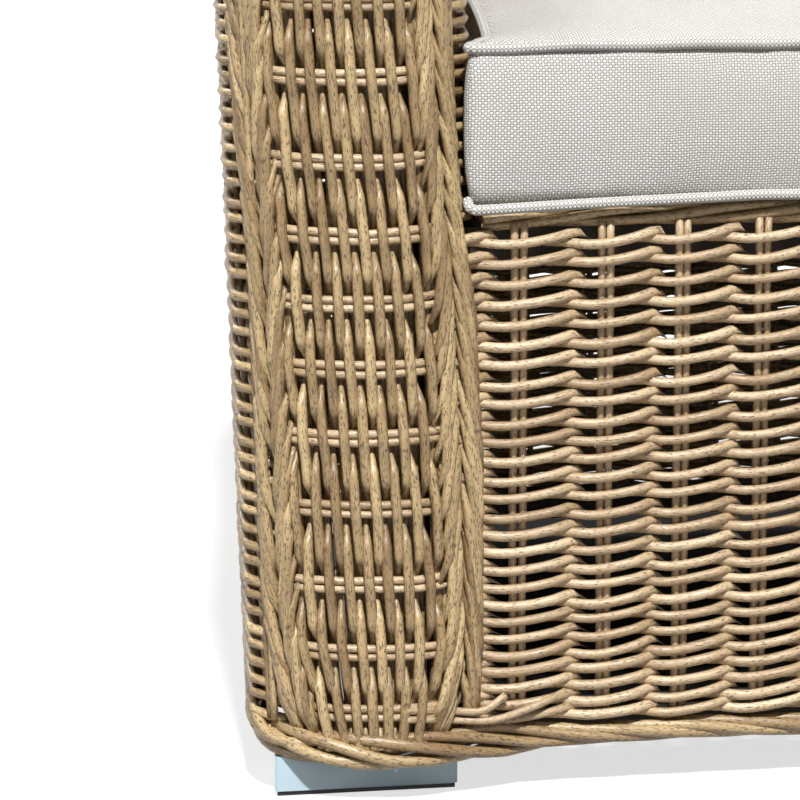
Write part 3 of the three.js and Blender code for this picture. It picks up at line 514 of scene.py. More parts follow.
class Nodes:
    """Short way to add shader nodes to a material or to the world."""

    def __init__(self, owner):
        owner.use_nodes = True
        self.owner = owner
        self.tree = owner.node_tree
        self.shader = self.tree.nodes.get("Principled BSDF")

    def add(self, kind, **values):
        node = self.tree.nodes.new(kind)
        for key, value in values.items():
            setattr(node, key, value)
        return node

    def feed(self, socket, value):
        """Gives a socket a number, a colour or what another socket puts out."""
        if isinstance(value, (int, float)):
            socket.default_value = value
        elif isinstance(value, tuple):
            socket.default_value = (*value, 1)
        else:
            self.tree.links.new(value, socket)

    def feed_all(self, node, **values):
        for key, value in values.items():
            self.feed(node.inputs[key.replace("_", " ")], value)
        return node

    def math(self, operation, *inputs):
        node = self.add("ShaderNodeMath", operation=operation)
        for socket, value in zip(node.inputs, inputs):
            self.feed(socket, value)
        return node.outputs[0]

    def times(self, first, second):
        return self.math("MULTIPLY", first, second)

    def plus(self, first, second):
        return self.math("ADD", first, second)

    def minus(self, first, second):
        return self.math("SUBTRACT", first, second)

    def mix(self, share, first, second, blend="MIX"):
        node = self.add("ShaderNodeMix", data_type="RGBA", blend_type=blend)
        for place, value in ((0, share), (6, first), (7, second)):
            self.feed(node.inputs[place], value)
        return node.outputs[2]

    def place(self):
        return self.add("ShaderNodeTexCoord").outputs["Object"]

    def split(self, vector):
        return self.feed_all(self.add("ShaderNodeSeparateXYZ"), Vector=vector).outputs

    def combine(self, x, y, z):
        return self.feed_all(self.add("ShaderNodeCombineXYZ"), X=x, Y=y, Z=z).outputs[0]

    def noise(self, vector, scale, detail=3.0, roughness=0.5):
        node = self.add("ShaderNodeTexNoise")
        self.feed_all(node, Vector=vector, Scale=scale, Detail=detail, Roughness=roughness)
        return node.outputs["Fac"]

    def ramp(self, value, low, high):
        """0 at low and below, 1 at high and above."""
        node = self.add("ShaderNodeMapRange")
        return self.feed_all(node, Value=value, From_Min=low, From_Max=high).outputs[0]

    def between(self, value, low, high):
        """low where the value is 0 and high where it is 1."""
        node = self.add("ShaderNodeMapRange")
        return self.feed_all(node, Value=value, To_Min=low, To_Max=high).outputs[0]

    def bump(self, height, distance, strength):
        node = self.feed_all(self.add("ShaderNodeBump"), Height=height, Distance=distance, Strength=strength)
        self.set(Normal=node.outputs[0])

    def set(self, **values):
        self.feed_all(self.shader, **values)


def material_nodes(name):
    return Nodes(bpy.data.materials.new(name))


WHITE = 1.0, 1.0, 1.0
CANE_BUMP = 0.25 * MM
YARN_BUMP = 0.7 * MM
GRAIN_BUMP = 0.08 * MM
YARN_WOBBLE = 3 * MM
# How often a cane's shades, fibres and flecks change, in a metre along it and in a turn round it
SHADE_STREAKS = 14.0, 1.0
FIBRE_STREAKS = 26.0, 9.0
FLECK_STREAKS = 260.0, 7.0
FIBRE_SCALE = 1.6
FLECK_SCALE = 1.3
CANE_SHIFT = 37.0  # between the marks of canes with different tints
# How often the fabric's fluff, blotches and wobble change in a metre, and blotches on the metal
FLUFF_SCALE = 1400.0
BLOTCH_SCALE = 8.0
WOBBLE_SCALE = 35.0
WEFT_SCALE = 1.15  # yarns across for each yarn along
METAL_BLOTCH_SCALE = 18.0
DARKER_SHARE = 0.8


def cane_material(name, dark, light, fleck, fleck_share):
    """Satin cane with short dark flecks along it, each cane in its own shade."""
    m = material_nodes(name)
    along, around = m.split(m.add("ShaderNodeUVMap", uv_map="Cane").outputs[0])[:2]
    tint = m.add("ShaderNodeAttribute", attribute_name="tint").outputs["Fac"]
    own = m.times(tint, CANE_SHIFT)
    turn = m.times(around, 2 * math.pi)
    round_x = m.times(m.math("COSINE", turn), 0.5)
    round_y = m.times(m.math("SINE", turn), 0.5)

    def streaks(lengthwise, crosswise):
        y = m.plus(m.times(round_y, crosswise), own)
        return m.combine(m.times(along, lengthwise), m.times(round_x, crosswise), y)

    shade = m.noise(streaks(*SHADE_STREAKS), 1.0, detail=2.0)
    fibre = m.noise(streaks(*FIBRE_STREAKS), FIBRE_SCALE, detail=4.0, roughness=0.65)
    spots = m.noise(streaks(*FLECK_STREAKS), FLECK_SCALE, detail=1.0)
    spots = m.ramp(spots, fleck_share, fleck_share + 0.07)
    level = m.plus(m.times(shade, 0.7), m.times(tint, 0.42))
    base = m.mix(m.ramp(level, 0.25, 0.85), dark, light)
    fine = m.mix(m.ramp(fibre, 0.3, 0.75), (0.62, 0.56, 0.5), WHITE)
    base = m.mix(0.75, base, fine, "MULTIPLY")
    m.set(Base_Color=m.mix(m.times(spots, 0.8), base, fleck), Roughness=m.between(fibre, 0.28, 0.42))
    m.set(Specular_IOR_Level=0.6)
    m.bump(m.minus(fibre, m.times(spots, 0.35)), CANE_BUMP, 0.6)
    return m.owner


def flat_coordinates(m):
    """Two coordinates that lie in the surface, whichever way it mostly faces."""
    coordinates = m.place()
    x, y, z = m.split(coordinates)
    normal = m.split(m.add("ShaderNodeNewGeometry").outputs["Normal"])
    ax, ay, az = (m.math("ABSOLUTE", part) for part in normal)
    top = m.math("GREATER_THAN", az, m.math("MAXIMUM", ax, ay))
    side = m.times(m.math("GREATER_THAN", ax, ay), m.minus(1.0, top))
    p = m.plus(m.times(x, m.minus(1.0, side)), m.times(y, side))
    q = m.plus(m.times(z, m.minus(1.0, top)), m.times(y, top))
    return coordinates, p, q


def plain_weave(m, u, v):
    """Height and a shade of its own for each yarn crossing, at coordinates counted in yarns."""
    wave_u = m.math("SINE", m.times(u, math.pi))
    wave_v = m.math("SINE", m.times(v, math.pi))
    arch_u = m.math("ABSOLUTE", wave_u)
    arch_v = m.math("ABSOLUTE", wave_v)
    over = m.math("GREATER_THAN", m.times(wave_u, wave_v), 0.0)

    def crossing(across, along):
        roundness = m.plus(0.3, m.times(m.math("POWER", across, 0.6), 0.7))
        return m.times(roundness, m.plus(0.5, m.times(along, 0.5)))

    under = m.minus(1.0, over)
    height = m.plus(m.times(crossing(arch_v, arch_u), over), m.times(crossing(arch_u, arch_v), under))
    cell = m.combine(m.math("FLOOR", u), m.math("FLOOR", v), 0.0)
    own = m.feed_all(m.add("ShaderNodeTexWhiteNoise", noise_dimensions="3D"), Vector=cell)
    return height, own.outputs["Value"], over


def finish_fabric(m, coordinates, u, v, yarn, gap_shade, blotch, weft):
    height, own, over = plain_weave(m, u, v)
    fluff = m.noise(coordinates, FLUFF_SCALE, detail=2.0)
    large = m.noise(coordinates, BLOTCH_SCALE)
    lit = m.mix(m.times(own, 0.4), yarn, blotch)
    lit = m.mix(m.times(over, 0.8), lit, weft)
    lit = m.mix(m.times(m.ramp(large, 0.45, 0.8), 0.7), lit, blotch)
    # Painted shade: the low places between the yarns are darkened towards a near-black shade colour
    fuller = m.plus(height, m.times(m.minus(1.0, over), 0.1))
    base = m.mix(m.ramp(fuller, 0.32, 0.74), gap_shade, lit)
    m.set(Base_Color=m.mix(0.15, base, m.mix(fluff, (0.5, 0.5, 0.5), WHITE), "MULTIPLY"))
    m.set(Roughness=0.9, Sheen_Weight=0.1, Sheen_Roughness=0.6, Specular_IOR_Level=0.2)
    m.bump(m.plus(height, m.times(fluff, 0.2)), YARN_BUMP, 0.7)
    return m.owner


def fabric_material(name, cell, *colours):
    """Coarse plain weave of pale yarns, laid along whichever way the surface mostly faces."""
    m = material_nodes(name)
    coordinates, p, q = flat_coordinates(m)
    slide = m.times(m.minus(m.noise(coordinates, WOBBLE_SCALE, detail=2.0), 0.5), YARN_WOBBLE)
    return finish_fabric(m, coordinates, m.times(m.plus(p, slide), 1 / cell),
                         m.times(m.minus(q, slide), WEFT_SCALE / cell), *colours)


def piping_material(name, cell, around_yarns, *colours):
    """The same cloth cut on the bias, wrapped round a cord."""
    m = material_nodes(name)
    along, around = m.split(m.add("ShaderNodeUVMap", uv_map="Cane").outputs[0])[:2]
    along = m.times(along, 1 / cell)
    around = m.times(around, around_yarns)
    return finish_fabric(m, m.place(), m.plus(along, around), m.minus(along, around), *colours)


def metal_material(name, color, roughness, metallic, grain):
    """Satin surface with a fine brushed or sprayed texture."""
    m = material_nodes(name)
    coordinates = m.place()
    fine = m.noise(coordinates, grain, detail=4.0, roughness=0.6)
    large = m.noise(coordinates, METAL_BLOTCH_SCALE, detail=2.0)
    darker = tuple(DARKER_SHARE * c for c in color)
    base = m.mix(m.ramp(large, 0.35, 0.7), color, darker)
    m.set(Base_Color=m.mix(m.times(fine, 0.2), base, darker), Metallic=metallic)
    m.set(Roughness=m.between(fine, roughness - 0.06, roughness + 0.1))
    m.bump(fine, GRAIN_BUMP, 0.5)
    return m.owner


YARN_CELL = 1.75 * MM
PIPING_CELL = 2.6 * MM
PIPING_YARNS = 7  # round a cord
# Yarn, the painted shade between the yarns, blotches and weft
YARN = (0.92, 0.905, 0.87), (0.1, 0.09, 0.08), (0.66, 0.63, 0.58), (0.52, 0.495, 0.46)
CANE = cane_material("cane", dark=(0.27, 0.165, 0.07), light=(0.72, 0.545, 0.29),
                     fleck=(0.045, 0.026, 0.014), fleck_share=0.56)
PALE_CANE = cane_material("pale_cane", dark=(0.42, 0.285, 0.15), light=(0.84, 0.67, 0.44),
                          fleck=(0.08, 0.045, 0.025), fleck_share=0.585)
FABRIC = fabric_material("cushion_fabric", YARN_CELL, *YARN)
PIPING = piping_material("cushion_piping", PIPING_CELL, PIPING_YARNS, *YARN)
FINE_GRAIN = 900.0
FRAME_METAL = metal_material("frame_paint", (0.06, 0.045, 0.035), roughness=0.5, metallic=0.2, grain=400.0)
FOOT_METAL = metal_material("foot_metal", (0.58, 0.74, 0.82), roughness=0.42, metallic=0.05, grain=FINE_GRAIN)
PAD = metal_material("glide_plastic", (0.02, 0.022, 0.025), roughness=0.65, metallic=0.0, grain=500.0)
ZIP_TAPE = metal_material("zip_tape", (0.42, 0.4, 0.36), roughness=0.8, metallic=0.0, grain=FINE_GRAIN)
ZIP_TEETH = metal_material("zip_teeth", (0.16, 0.155, 0.15), roughness=0.45, metallic=0.0, grain=FINE_GRAIN)
ZIP_METAL = metal_material("zip_metal", (0.5, 0.5, 0.5), roughness=0.3, metallic=0.9, grain=FINE_GRAIN)
FOAM = metal_material("foam", (0.85, 0.8, 0.62), roughness=0.9, metallic=0.0, grain=300.0)


# Woven panels

OUTER_START = -0.16  # the skins start under the plait's edge
INNER_START = -0.12
NOSE_END = -0.002
OVERLAP = 2 * MM  # of the wall's two halves, at the middle of the back
WALL_STEP = STAKE_PITCH / 5
TOP_STAKE_STEP = 8 * MM
STAKE_DROP = 6 * MM  # the stakes run on this far below the skin
STAKE_TOP_GAP = 2 * MM  # and stop this far below the shoulder


def wall_places(first):
    """Places along the wall, from a level on the nose to the middle of the back."""
    return np.concatenate([
        np.linspace(first, NOSE_END, 8),
        np.linspace(0, ARM_LENGTH, 26),
        ARM_LENGTH + np.linspace(0, CORNER_LENGTH, 13)[1:],
        np.linspace(ARM_LENGTH + CORNER_LENGTH, WALL_LENGTH + OVERLAP, 12)[1:],
    ])


ARM_END = np.searchsorted(wall_places(OUTER_START), ARM_LENGTH)


def arm_and_back(surface, rows, rng, start_of, ends, stake_step, flank):
    """Rows and stakes of the arm, and those of the back, which start where the arm ends."""
    first, cut, last = surface.us[0], surface.us[ARM_END], surface.us[-1]
    origin = last - OVERLAP
    arm = twined(surface, rows, rng, lambda row: (start_of(row), cut), origin, WALL_STEP, flank=flank)
    arm += stakes(surface, first, cut, *ends, rng, origin, stake_step)
    back = twined(surface, rows, rng, lambda row: (max(start_of(row), cut), last), origin, WALL_STEP)
    back += stakes(surface, cut, last - STAKE_GAP, *ends, rng, origin, stake_step)
    return arm, back


def wall_side(mirror, rng, side, low, first):
    """The upright weave outside, where side is 1, or inside, where it is -1."""
    places = wall_places(first)
    top = BACK_HEIGHT - TOP_RISE
    surface = skin_surface(places, side, mirror, low, top)
    shoulder = wall_height(np.maximum(places, 0)) - TOP_RISE
    lowest = low + (SHOULDER - TOP_ROW_GAP - low) % ROW_PITCH - ROW_PITCH

    def start_of(row):
        if row <= SHOULDER:
            return surface.us[0]
        return float(np.interp(row, shoulder, surface.us)) - SHOULDER_TUCK

    def top_of(s):
        return float(np.interp(s, surface.us, shoulder)) - STAKE_TOP_GAP

    ends = (lambda s: low - STAKE_DROP), top_of
    return arm_and_back(surface, np.arange(lowest, top, ROW_PITCH), rng, start_of, ends, STAKE_STEP, True)


def wall_top(mirror, rng):
    surface = arch_surface(wall_places(OUTER_START), mirror)
    high = surface.vs[-1]
    across = high - 2 * TOP_ROW_GAP
    rows = TOP_ROW_GAP + np.linspace(0, across, round(across / ROW_PITCH) + 1)
    ends = (lambda s: 0.0), (lambda s: high)
    return arm_and_back(surface, rows, rng, lambda row: surface.us[0], ends, TOP_STAKE_STEP, False)


def wall_panels(mirror, seed):
    """Outer, inner and top weave of one arm and of that half of the back."""
    rng = np.random.default_rng(seed)
    outer = wall_side(mirror, rng, 1, SKIN_BOTTOM, OUTER_START)
    inner = wall_side(mirror, rng, -1, DECK_BOTTOM, INNER_START)
    return {"outer": outer, "inner": inner, "top": wall_top(mirror, rng)}


# Heights of the level pairs of canes on the arm's front
PAIR_HEIGHTS = np.array([55, 92, 133, 179, 222, 263, 302, 342, 385, 435, 478, 520, 561]) * MM
PAIR_GAP = 5.4 * MM
PAIR_RADIUS = 2.5 * MM
PAIR_REACH = 4 * MM  # past the plait's edge
PAIR_NARROW_SHARE = 0.8  # of the narrowing at the foot
PAIR_SAG = 1.6 * MM  # its ends stand this much higher, from some pairs up
PAIR_SAG_ROWS = 8
PAIR_STEP = 4 * MM
PAIR_WANDER = 0.3 * MM
PANEL_INSET = 8 * MM
FRONT_CANES = 15
FRONT_SHARE = 0.655  # of the arm's half thickness, to the plait's edge
FRONT_ARCH_MORE = 3 * MM
FRONT_FOOT = 8 * MM  # above the wall's lower edge
FRONT_PITCH = 6.35 * MM
FRONT_RADIUS = 3.05 * MM
FRONT_RADIUS_SHARES = 0.97, 1.08
FRONT_DEPTH = 5.2 * MM
FRONT_STEP = 2.4 * MM
FRONT_WANDER = 0.4 * MM
FRONT_SLANT = 1.5 * MM  # each stretch between two pairs leans this much either way
SLANT_EASE = 9 * MM
DIP_HALF = 4.5 * MM  # of the stretch behind a pair
EMERGE = 19 * MM  # below a pair a cane comes forward over this length
SINK = 14 * MM  # above a pair it goes back over this one
EMERGE_THIN_SHARE = 0.4
SINK_THIN_SHARE = 0.65
CREST_DROP = 1.8 * MM  # away from the pair that it passes, a cane stands forward by this much less
CREST_HALF = 16 * MM
LINING_DEPTH = 12.5 * MM  # of the straight canes behind the woven ones
LINING_RADIUS = 2.8 * MM


def least(distances):
    """The least positive distance in each row."""
    return np.where(distances > 0, distances, 1).min(1)


def arm_front(mirror, seed):
    """Upright canes that pass over one level pair and under the next, close together."""
    rng = np.random.default_rng(seed)
    surface = front_surface(mirror, PANEL_INSET)
    half = FRONT_SHARE * ARM_HALF
    strands = []
    for i in range(FRONT_CANES):
        u = (i - (FRONT_CANES - 1) / 2) * FRONT_PITCH
        arch = max(1 - (abs(u) / (half + FRONT_ARCH_MORE)) ** ROUNDNESS, 0) ** (1 / ROUNDNESS)
        v = np.arange(WALL_BOTTOM + FRONT_FOOT, SHOULDER + FRONT_SHARE * TOP_RISE * arch, FRONT_STEP)
        away = v[:, None] - PAIR_HEIGHTS[i % 2::2]
        above, below = least(away), least(-away)
        emerged = smooth((below - DIP_HALF) / EMERGE)
        sunk = smooth((above - DIP_HALF) / SINK)
        slant = (above - below) / (above + below) * smooth(np.minimum(above, below) / SLANT_EASE)
        own = np.abs(v[:, None] - PAIR_HEIGHTS[1 - i % 2::2]).min(1)
        crest = FRONT_DEPTH - CREST_DROP * smooth(own / CREST_HALF)
        height = (crest + FRONT_DEPTH) * emerged * sunk - FRONT_DEPTH
        drift = wander(rng, len(v), FRONT_STEP, FRONT_WANDER)
        across = u * (1 - FOOT_NARROW_SHARE * foot_fan(v)) + FRONT_SLANT * slant + drift
        taper = EMERGE_THIN_SHARE + (1 - EMERGE_THIN_SHARE) * emerged
        taper = taper * (SINK_THIN_SHARE + (1 - SINK_THIN_SHARE) * sunk)
        radius = FRONT_RADIUS * rng.uniform(*FRONT_RADIUS_SHARES) * taper
        strands.append((*surface.at(across, v, height), radius))
        strands.append((*surface.at(across + FRONT_PITCH / 2, v, -LINING_DEPTH), LINING_RADIUS))
    pairs = []
    reach = half + PAIR_REACH
    for k, level in enumerate(PAIR_HEIGHTS):
        u = np.linspace(-reach, reach, 28) * (1 - PAIR_NARROW_SHARE * FOOT_NARROW_SHARE * foot_fan(level))
        for twin in (-0.5, 0.5):
            sag = PAIR_SAG * (u / reach) ** 2 * np.clip(k / PAIR_SAG_ROWS, 0, 1)
            v = level + twin * PAIR_GAP + sag + wander(rng, len(u), PAIR_STEP, PAIR_WANDER)
            pairs.append((*surface.at(u, v), PAIR_RADIUS * rng.uniform(*EVEN_SHARES)))
    return strands, pairs


PLAIT_INSET = 4 * MM
PLAIT_CENTRE_SHARE = 0.48  # of the border's width
PLAIT_HALF_SHARE = 0.46
PLAIT_PITCH = 20 * MM
PLAIT_REACH = 118 * MM
PLAIT_LAST_SHARE = 0.7  # of that reach, past the border's end
PLAIT_LENGTH_SHARES = 0.9, 1.12  # how much its strands differ in reach
PLAIT_JITTER = 2.5 * MM
PLAIT_RADIUS = 2.95 * MM
PLAIT_RADIUS_SHARES = 0.95, 1.07
PLAIT_THIN_SHARE = 0.55
PLAIT_DEPTH = 4.5 * MM  # of a strand's two ends
PLAIT_LIFT = 7.5 * MM  # of its middle above them
PLAIT_RISE_SHARE = 0.16
PLAIT_FALL_SHARE = 0.52
PLAIT_FALL_LENGTH_SHARE = 0.26
PLAIT_BEND = 1.2 * MM
PLAIT_STEP = 6 * MM
PLAIT_WANDER = 0.4 * MM
PLAIT_CROSSING_SHARE = 1.4  # a strand runs from its own edge to this share of the half width beyond
PLAIT_FOOT = 15 * MM  # above the wall's lower edge, behind the base rope
PLAIT_DIVE = 7 * MM  # its canes end behind the base rope
PLAIT_DIVE_LENGTH = 24 * MM
CORE_SHARES = np.linspace(0.06, 0.94, 6)
CORE_DEPTH = 8.5 * MM
CORE_RADIUS = 3.2 * MM


def arm_plait(mirror, seed):
    """Herringbone plait up both edges of the arm's front and over its top, on straight core canes."""
    rng = np.random.default_rng(seed)
    surface = border_surface(mirror, PLAIT_INSET)
    long, wide = surface.us[-1], surface.vs[-1]
    strands = []
    t = np.linspace(0, 1, 22)
    rise = smooth(t / PLAIT_RISE_SHARE) * (1 - smooth((t - PLAIT_FALL_SHARE) / PLAIT_FALL_LENGTH_SHARE))
    for first in np.arange(2 * PLAIT_FOOT, long + PLAIT_REACH * PLAIT_LAST_SHARE, PLAIT_PITCH):
        for edge in (-1, 1):
            start = first + (PLAIT_PITCH / 2 if edge > 0 else 0) + rng.normal(0, PLAIT_JITTER)
            run = start - t * PLAIT_REACH * rng.uniform(*PLAIT_LENGTH_SHARES)
            inside = (run > PLAIT_FOOT) & (run < long - PLAIT_FOOT)
            if inside.sum() < 5:
                continue
            half = PLAIT_HALF_SHARE * wide * (1 - PLAIT_CROSSING_SHARE * t)
            v = PLAIT_CENTRE_SHARE * wide + edge * (half + PLAIT_BEND * np.sin(math.pi * t))
            v = v + wander(rng, len(t), PLAIT_STEP, PLAIT_WANDER)
            near_foot = smooth((np.minimum(run, long - run) - PLAIT_FOOT) / PLAIT_DIVE_LENGTH)
            height = PLAIT_LIFT * rise - PLAIT_DEPTH - PLAIT_DIVE * (1 - near_foot)
            points, normals = surface.at(run[inside], v[inside], height[inside])
            taper = PLAIT_THIN_SHARE + (1 - PLAIT_THIN_SHARE) * rise[inside]
            strands.append((points, normals, PLAIT_RADIUS * taper * rng.uniform(*PLAIT_RADIUS_SHARES)))
    u = np.linspace(PLAIT_FOOT, long - PLAIT_FOOT, 160)
    strands += [(*surface.at(u, share * wide, -CORE_DEPTH), CORE_RADIUS) for share in CORE_SHARES]
    return strands


# Ropes and rolled borders

ROPE_STEP = 7 * MM
ROPE_WANDER = 0.6 * MM
ROPE_TALL = 7.6 * MM
ROPE_LOW_TALL = 3.6 * MM  # along the apron, where it is flatter
ROPE_DEEP = 5 * MM
ROPE_RADIUS = 3.4 * MM
ROPE_CANES = 5
ROPE_TWIST = -230 * MM
ROPE_SHAPE = ROPE_DEEP, ROPE_CANES, ROPE_TWIST, ROPE_RADIUS
ROPE_INSET = 6 * MM
ROPE_START = 4 * MM  # along the arm, past the nose
FLANK_ROPE = 36 * MM  # height of the rope's middle beside the arm
NOSE_ROPE = 31.5 * MM  # at the arm's tip
APRON_ROPE = 33 * MM  # under the apron
NOSE_LEVELS = -0.5, 0, 0.999
APRON_ROPE_SHORT = 18 * MM  # of the front border's end
APRON_ROPE_BACK = 8 * MM  # behind the front border's face
ROPE_FLATTEN = 60 * MM
ROPE_PATH_STEP = 6 * MM
TURN_REACH = 9 * MM
TO_LEFT = np.array([-1, 1, 1])


def rope(path, outward, tall, deep, count, twist, radius, rng):
    """Canes that wind round a level path, in an upright oval."""
    s = lengths_along(path)
    samples = np.linspace(0, s[-1], int(s[-1] / ROPE_STEP) + 2)
    centre = read_along(path, s, samples)
    normal = unit(read_along(outward, s, samples))
    tall = np.interp(samples, s, np.broadcast_to(tall, len(s)))
    strands = []
    for k in range(count):
        angle = 2 * math.pi * (samples / twist + k / count)
        points = centre + normal * (deep * np.cos(angle))[:, None]
        points[:, 2] += tall * np.sin(angle) + wander(rng, len(samples), ROPE_STEP, ROPE_WANDER)
        up = normal * np.cos(angle)[:, None]
        up[:, 2] += np.sin(angle)
        strands.append((points, up, radius * rng.uniform(*UNEVEN_SHARES)))
    return strands


def outline_normals(path, centre):
    tangent = np.gradient(path, axis=0)
    normal = unit(np.stack([tangent[:, 1], -tangent[:, 0], np.zeros(len(path))], 1))
    middle = len(path) // 2
    return -normal if normal[middle] @ (path[middle] - centre) < 0 else normal


def eased(path, step, reach):
    """The path read at even steps, with its turns rounded over a reach."""
    s = lengths_along(path)
    points = read_along(path, s, np.arange(0, s[-1], step))
    size = int(3 * reach / step)
    kernel = np.exp(-0.5 * (np.arange(-size, size + 1) * step / reach) ** 2)
    kernel /= kernel.sum()
    padded = np.pad(points, ((size, size), (0, 0)), mode="reflect", reflect_type="odd")
    return np.stack([np.convolve(column, kernel, "valid") for column in padded.T], 1)


def beside_wall(places):
    """The base rope's middle at places along the right half of the wall."""
    base, out, half, lean, _ = wall_frame(places)
    return finish_points(base + out * (half - ROPE_INSET + lean * FLANK_ROPE)[:, None], FLANK_ROPE, 1)


def base_ropes():
    """The rope round the base: one run along the front and both arms, and one round the back."""
    rng = np.random.default_rng(ROPE_SEED)
    centre = np.zeros(3)
    levels = np.linspace(NOSE_LEVELS[0], NOSE_LEVELS[-1], 50)
    heights = np.interp(levels, NOSE_LEVELS, (APRON_ROPE, NOSE_ROPE, FLANK_ROPE))
    nose = nose_point(levels * (ARM_HALF - ROPE_INSET), heights, ROPE_INSET, 1)
    low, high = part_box("base_front_border")
    x = np.linspace(0, high.x - APRON_ROPE_SHORT, 60)
    front = np.stack([x, np.full_like(x, low.y + APRON_ROPE_BACK), np.full_like(x, APRON_ROPE)], 1)
    right = np.concatenate([front, nose, beside_wall(np.linspace(ROPE_START, ARM_LENGTH, 50))])
    path = eased(np.concatenate([(right * TO_LEFT)[::-1][:-1], right]), ROPE_PATH_STEP, TURN_REACH)
    flatness = smooth((high.x - np.abs(path[:, 0])) / ROPE_FLATTEN)
    tall = ROPE_TALL + (ROPE_LOW_TALL - ROPE_TALL) * flatness
    front_rope = rope(path, outline_normals(path, centre), tall, *ROPE_SHAPE, rng)
    corner = ARM_LENGTH + np.linspace(0, CORNER_LENGTH, 30)
    back = np.linspace(ARM_LENGTH + CORNER_LENGTH, WALL_LENGTH, 30)[1:]
    right = beside_wall(np.concatenate([corner, back]))
    path = np.concatenate([right, (right * TO_LEFT)[::-1][1:]])
    return front_rope, rope(path, outline_normals(path, centre), ROPE_TALL, *ROPE_SHAPE, rng)


SWEEPS = 4
SWEEP_LOWEST = 56 * MM
SWEEP_PITCH = 14 * MM
SWEEP_END = NOSE_ROPE + 4 * MM
SWEEP_DOWN_SHARE = 0.8  # of a sweep's length, in which it comes down to the rope
SWEEP_RISE_SHARE = 0.2  # in which it comes out of the rows
SWEEP_FLANK_SHARE = 0.4  # beside the arm, and the rest is round the nose
SWEEP_FLANK = 90 * MM
SWEEP_TURN = 0.36 * math.pi
SWEEP_PROUD = 2 * MM
SWEEP_START_DEPTH = 4 * MM
SWEEP_END_DEPTH = 11 * MM
SWEEP_STEP = 5 * MM
SWEEP_RADIUS = 3.1 * MM
SWEEP_CENTRE = np.array([600 * MM, 0.0, 0.0])


def corner_sweeps(mirror, seed):
    """Canes that leave the arm's outer rows and sweep down into the base rope at the front corner."""
    rng = np.random.default_rng(seed)
    strands = []
    t = np.linspace(0, 1, 26)
    risen = smooth(t / SWEEP_RISE_SHARE)
    lift = SWEEP_PROUD * risen - SWEEP_START_DEPTH * (1 - risen)
    lift = lift - SWEEP_END_DEPTH * smooth((t - SWEEP_DOWN_SHARE) / (1 - SWEEP_DOWN_SHARE))
    for k in range(SWEEPS):
        start = SWEEP_LOWEST + SWEEP_PITCH * k
        z = start + (SWEEP_END - start) * smooth(t / SWEEP_DOWN_SHARE)
        points = []
        for share, height, up in zip(t, z, lift):
            if share < SWEEP_FLANK_SHARE:
                distance = SWEEP_FLANK * (1 - share / SWEEP_FLANK_SHARE)
                point, out, _, half, lean = station(np.array([distance]))
                xy = point[0] + out[0] * (half[0] + up + lean[0] * height)
                points.append(finish_points(xy[None], np.array([height]), mirror)[0])
            else:
                turn = (share - SWEEP_FLANK_SHARE) / (1 - SWEEP_FLANK_SHARE) * SWEEP_TURN
                across = (ARM_HALF + up) * math.cos(turn) ** (2 / ROUNDNESS)
                points.append(nose_point(np.array([across]), np.array([height]), -up, mirror)[0])
        path = eased(np.array(points), SWEEP_STEP, TURN_REACH)
        normals = outline_normals(path, SWEEP_CENTRE * [mirror, 1, 1])
        strands.append((path, normals, SWEEP_RADIUS * rng.uniform(*EVEN_SHARES)))
    return strands


# The arm front's lowest pair runs on over the plait's foot and the apron's lowest rows: how far each
# point lies along, its height and how far it stands in front
LAST_PAIR = (
    ((-24, 48, 2), (0, 46.5, 5), (10, 48.5, 5), (33, 55, 2), (50, 60.5, -6)),
    ((-24, 54, 3), (-4, 52, 6), (4, 57.5, 6), (13, 62.5, 1)),
)
LAST_PAIR_START_SHARE = -0.25  # of the arm's half thickness
LAST_PAIR_INSET = 2 * MM
LAST_PAIR_STEP = 3 * MM
LAST_PAIR_TURN = 5 * MM
LAST_PAIR_RADIUS = 2.4 * MM
LAST_PAIR_RADIUS_SHARES = 0.97, 1.03


def apron_end(z):
    """Where the apron's solid ends beside the arm, at a height."""
    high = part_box("apron_weave")[1]
    return high.x - ARM_LEAN * (high.z - z)


def apron_sweeps(mirror, seed):
    """The two canes of the arm front's lowest pair, where they run on over the apron."""
    rng = np.random.default_rng(seed)
    strands = []
    for twin, route in zip((-0.5, 0.5), LAST_PAIR):
        z = PAIR_HEIGHTS[0] + twin * PAIR_GAP
        across = np.array([LAST_PAIR_START_SHARE * ARM_HALF])
        start = nose_point(across, np.array([z]), LAST_PAIR_INSET, mirror)
        past, height, proud = np.array(route).T * MM
        apron = np.stack([mirror * (apron_end(z) - past), APRON_Y - LAP_PROUD - proud, height], 1)
        path = eased(np.concatenate([start, apron]), LAST_PAIR_STEP, LAST_PAIR_TURN)
        radius = LAST_PAIR_RADIUS * rng.uniform(*LAST_PAIR_RADIUS_SHARES)
        strands.append((path, np.tile(FRONTWARD, (len(path), 1)), radius))
    return strands


APRON_ORIGIN = -13 * MM  # of the apron's stakes, which stand off the middle
APRON_RADIUS = 3.1 * MM
APRON_INSET = 5 * MM  # of its stakes' middles behind its face
APRON_STEP = STAKE_PITCH / 9
APRON_TUCK = 8 * MM  # its rows run on this far behind the arms' plaits
APRON_STAKE_DROP = 8 * MM
APRON_STAKE_GAP = 6 * MM
APRON_ROWS = 27
APRON_FOOT = 48.8 * MM
# The rows stand closer towards the base: height of row k is the foot plus these times k and k squared
APRON_PITCH = 9.69 * MM
APRON_WIDENING = 0.056 * MM
# Its stakes stand unevenly towards the left arm
APRON_PLACES = np.array([-700, -663, -613, -563, -513, -463, 700]) * MM
APRON_DRIFT = np.array([-6, -6, 0.7, 3.5, 0.7, 0, 0]) * MM
EDGE_INSET = 8 * MM
EDGE_DROP = 3 * MM
EDGE_TALL = 4.5 * MM
EDGE_DEEP = 5 * MM
EDGE_CANES = 4
EDGE_TWIST = 240 * MM
EDGE_RADIUS = 2.8 * MM


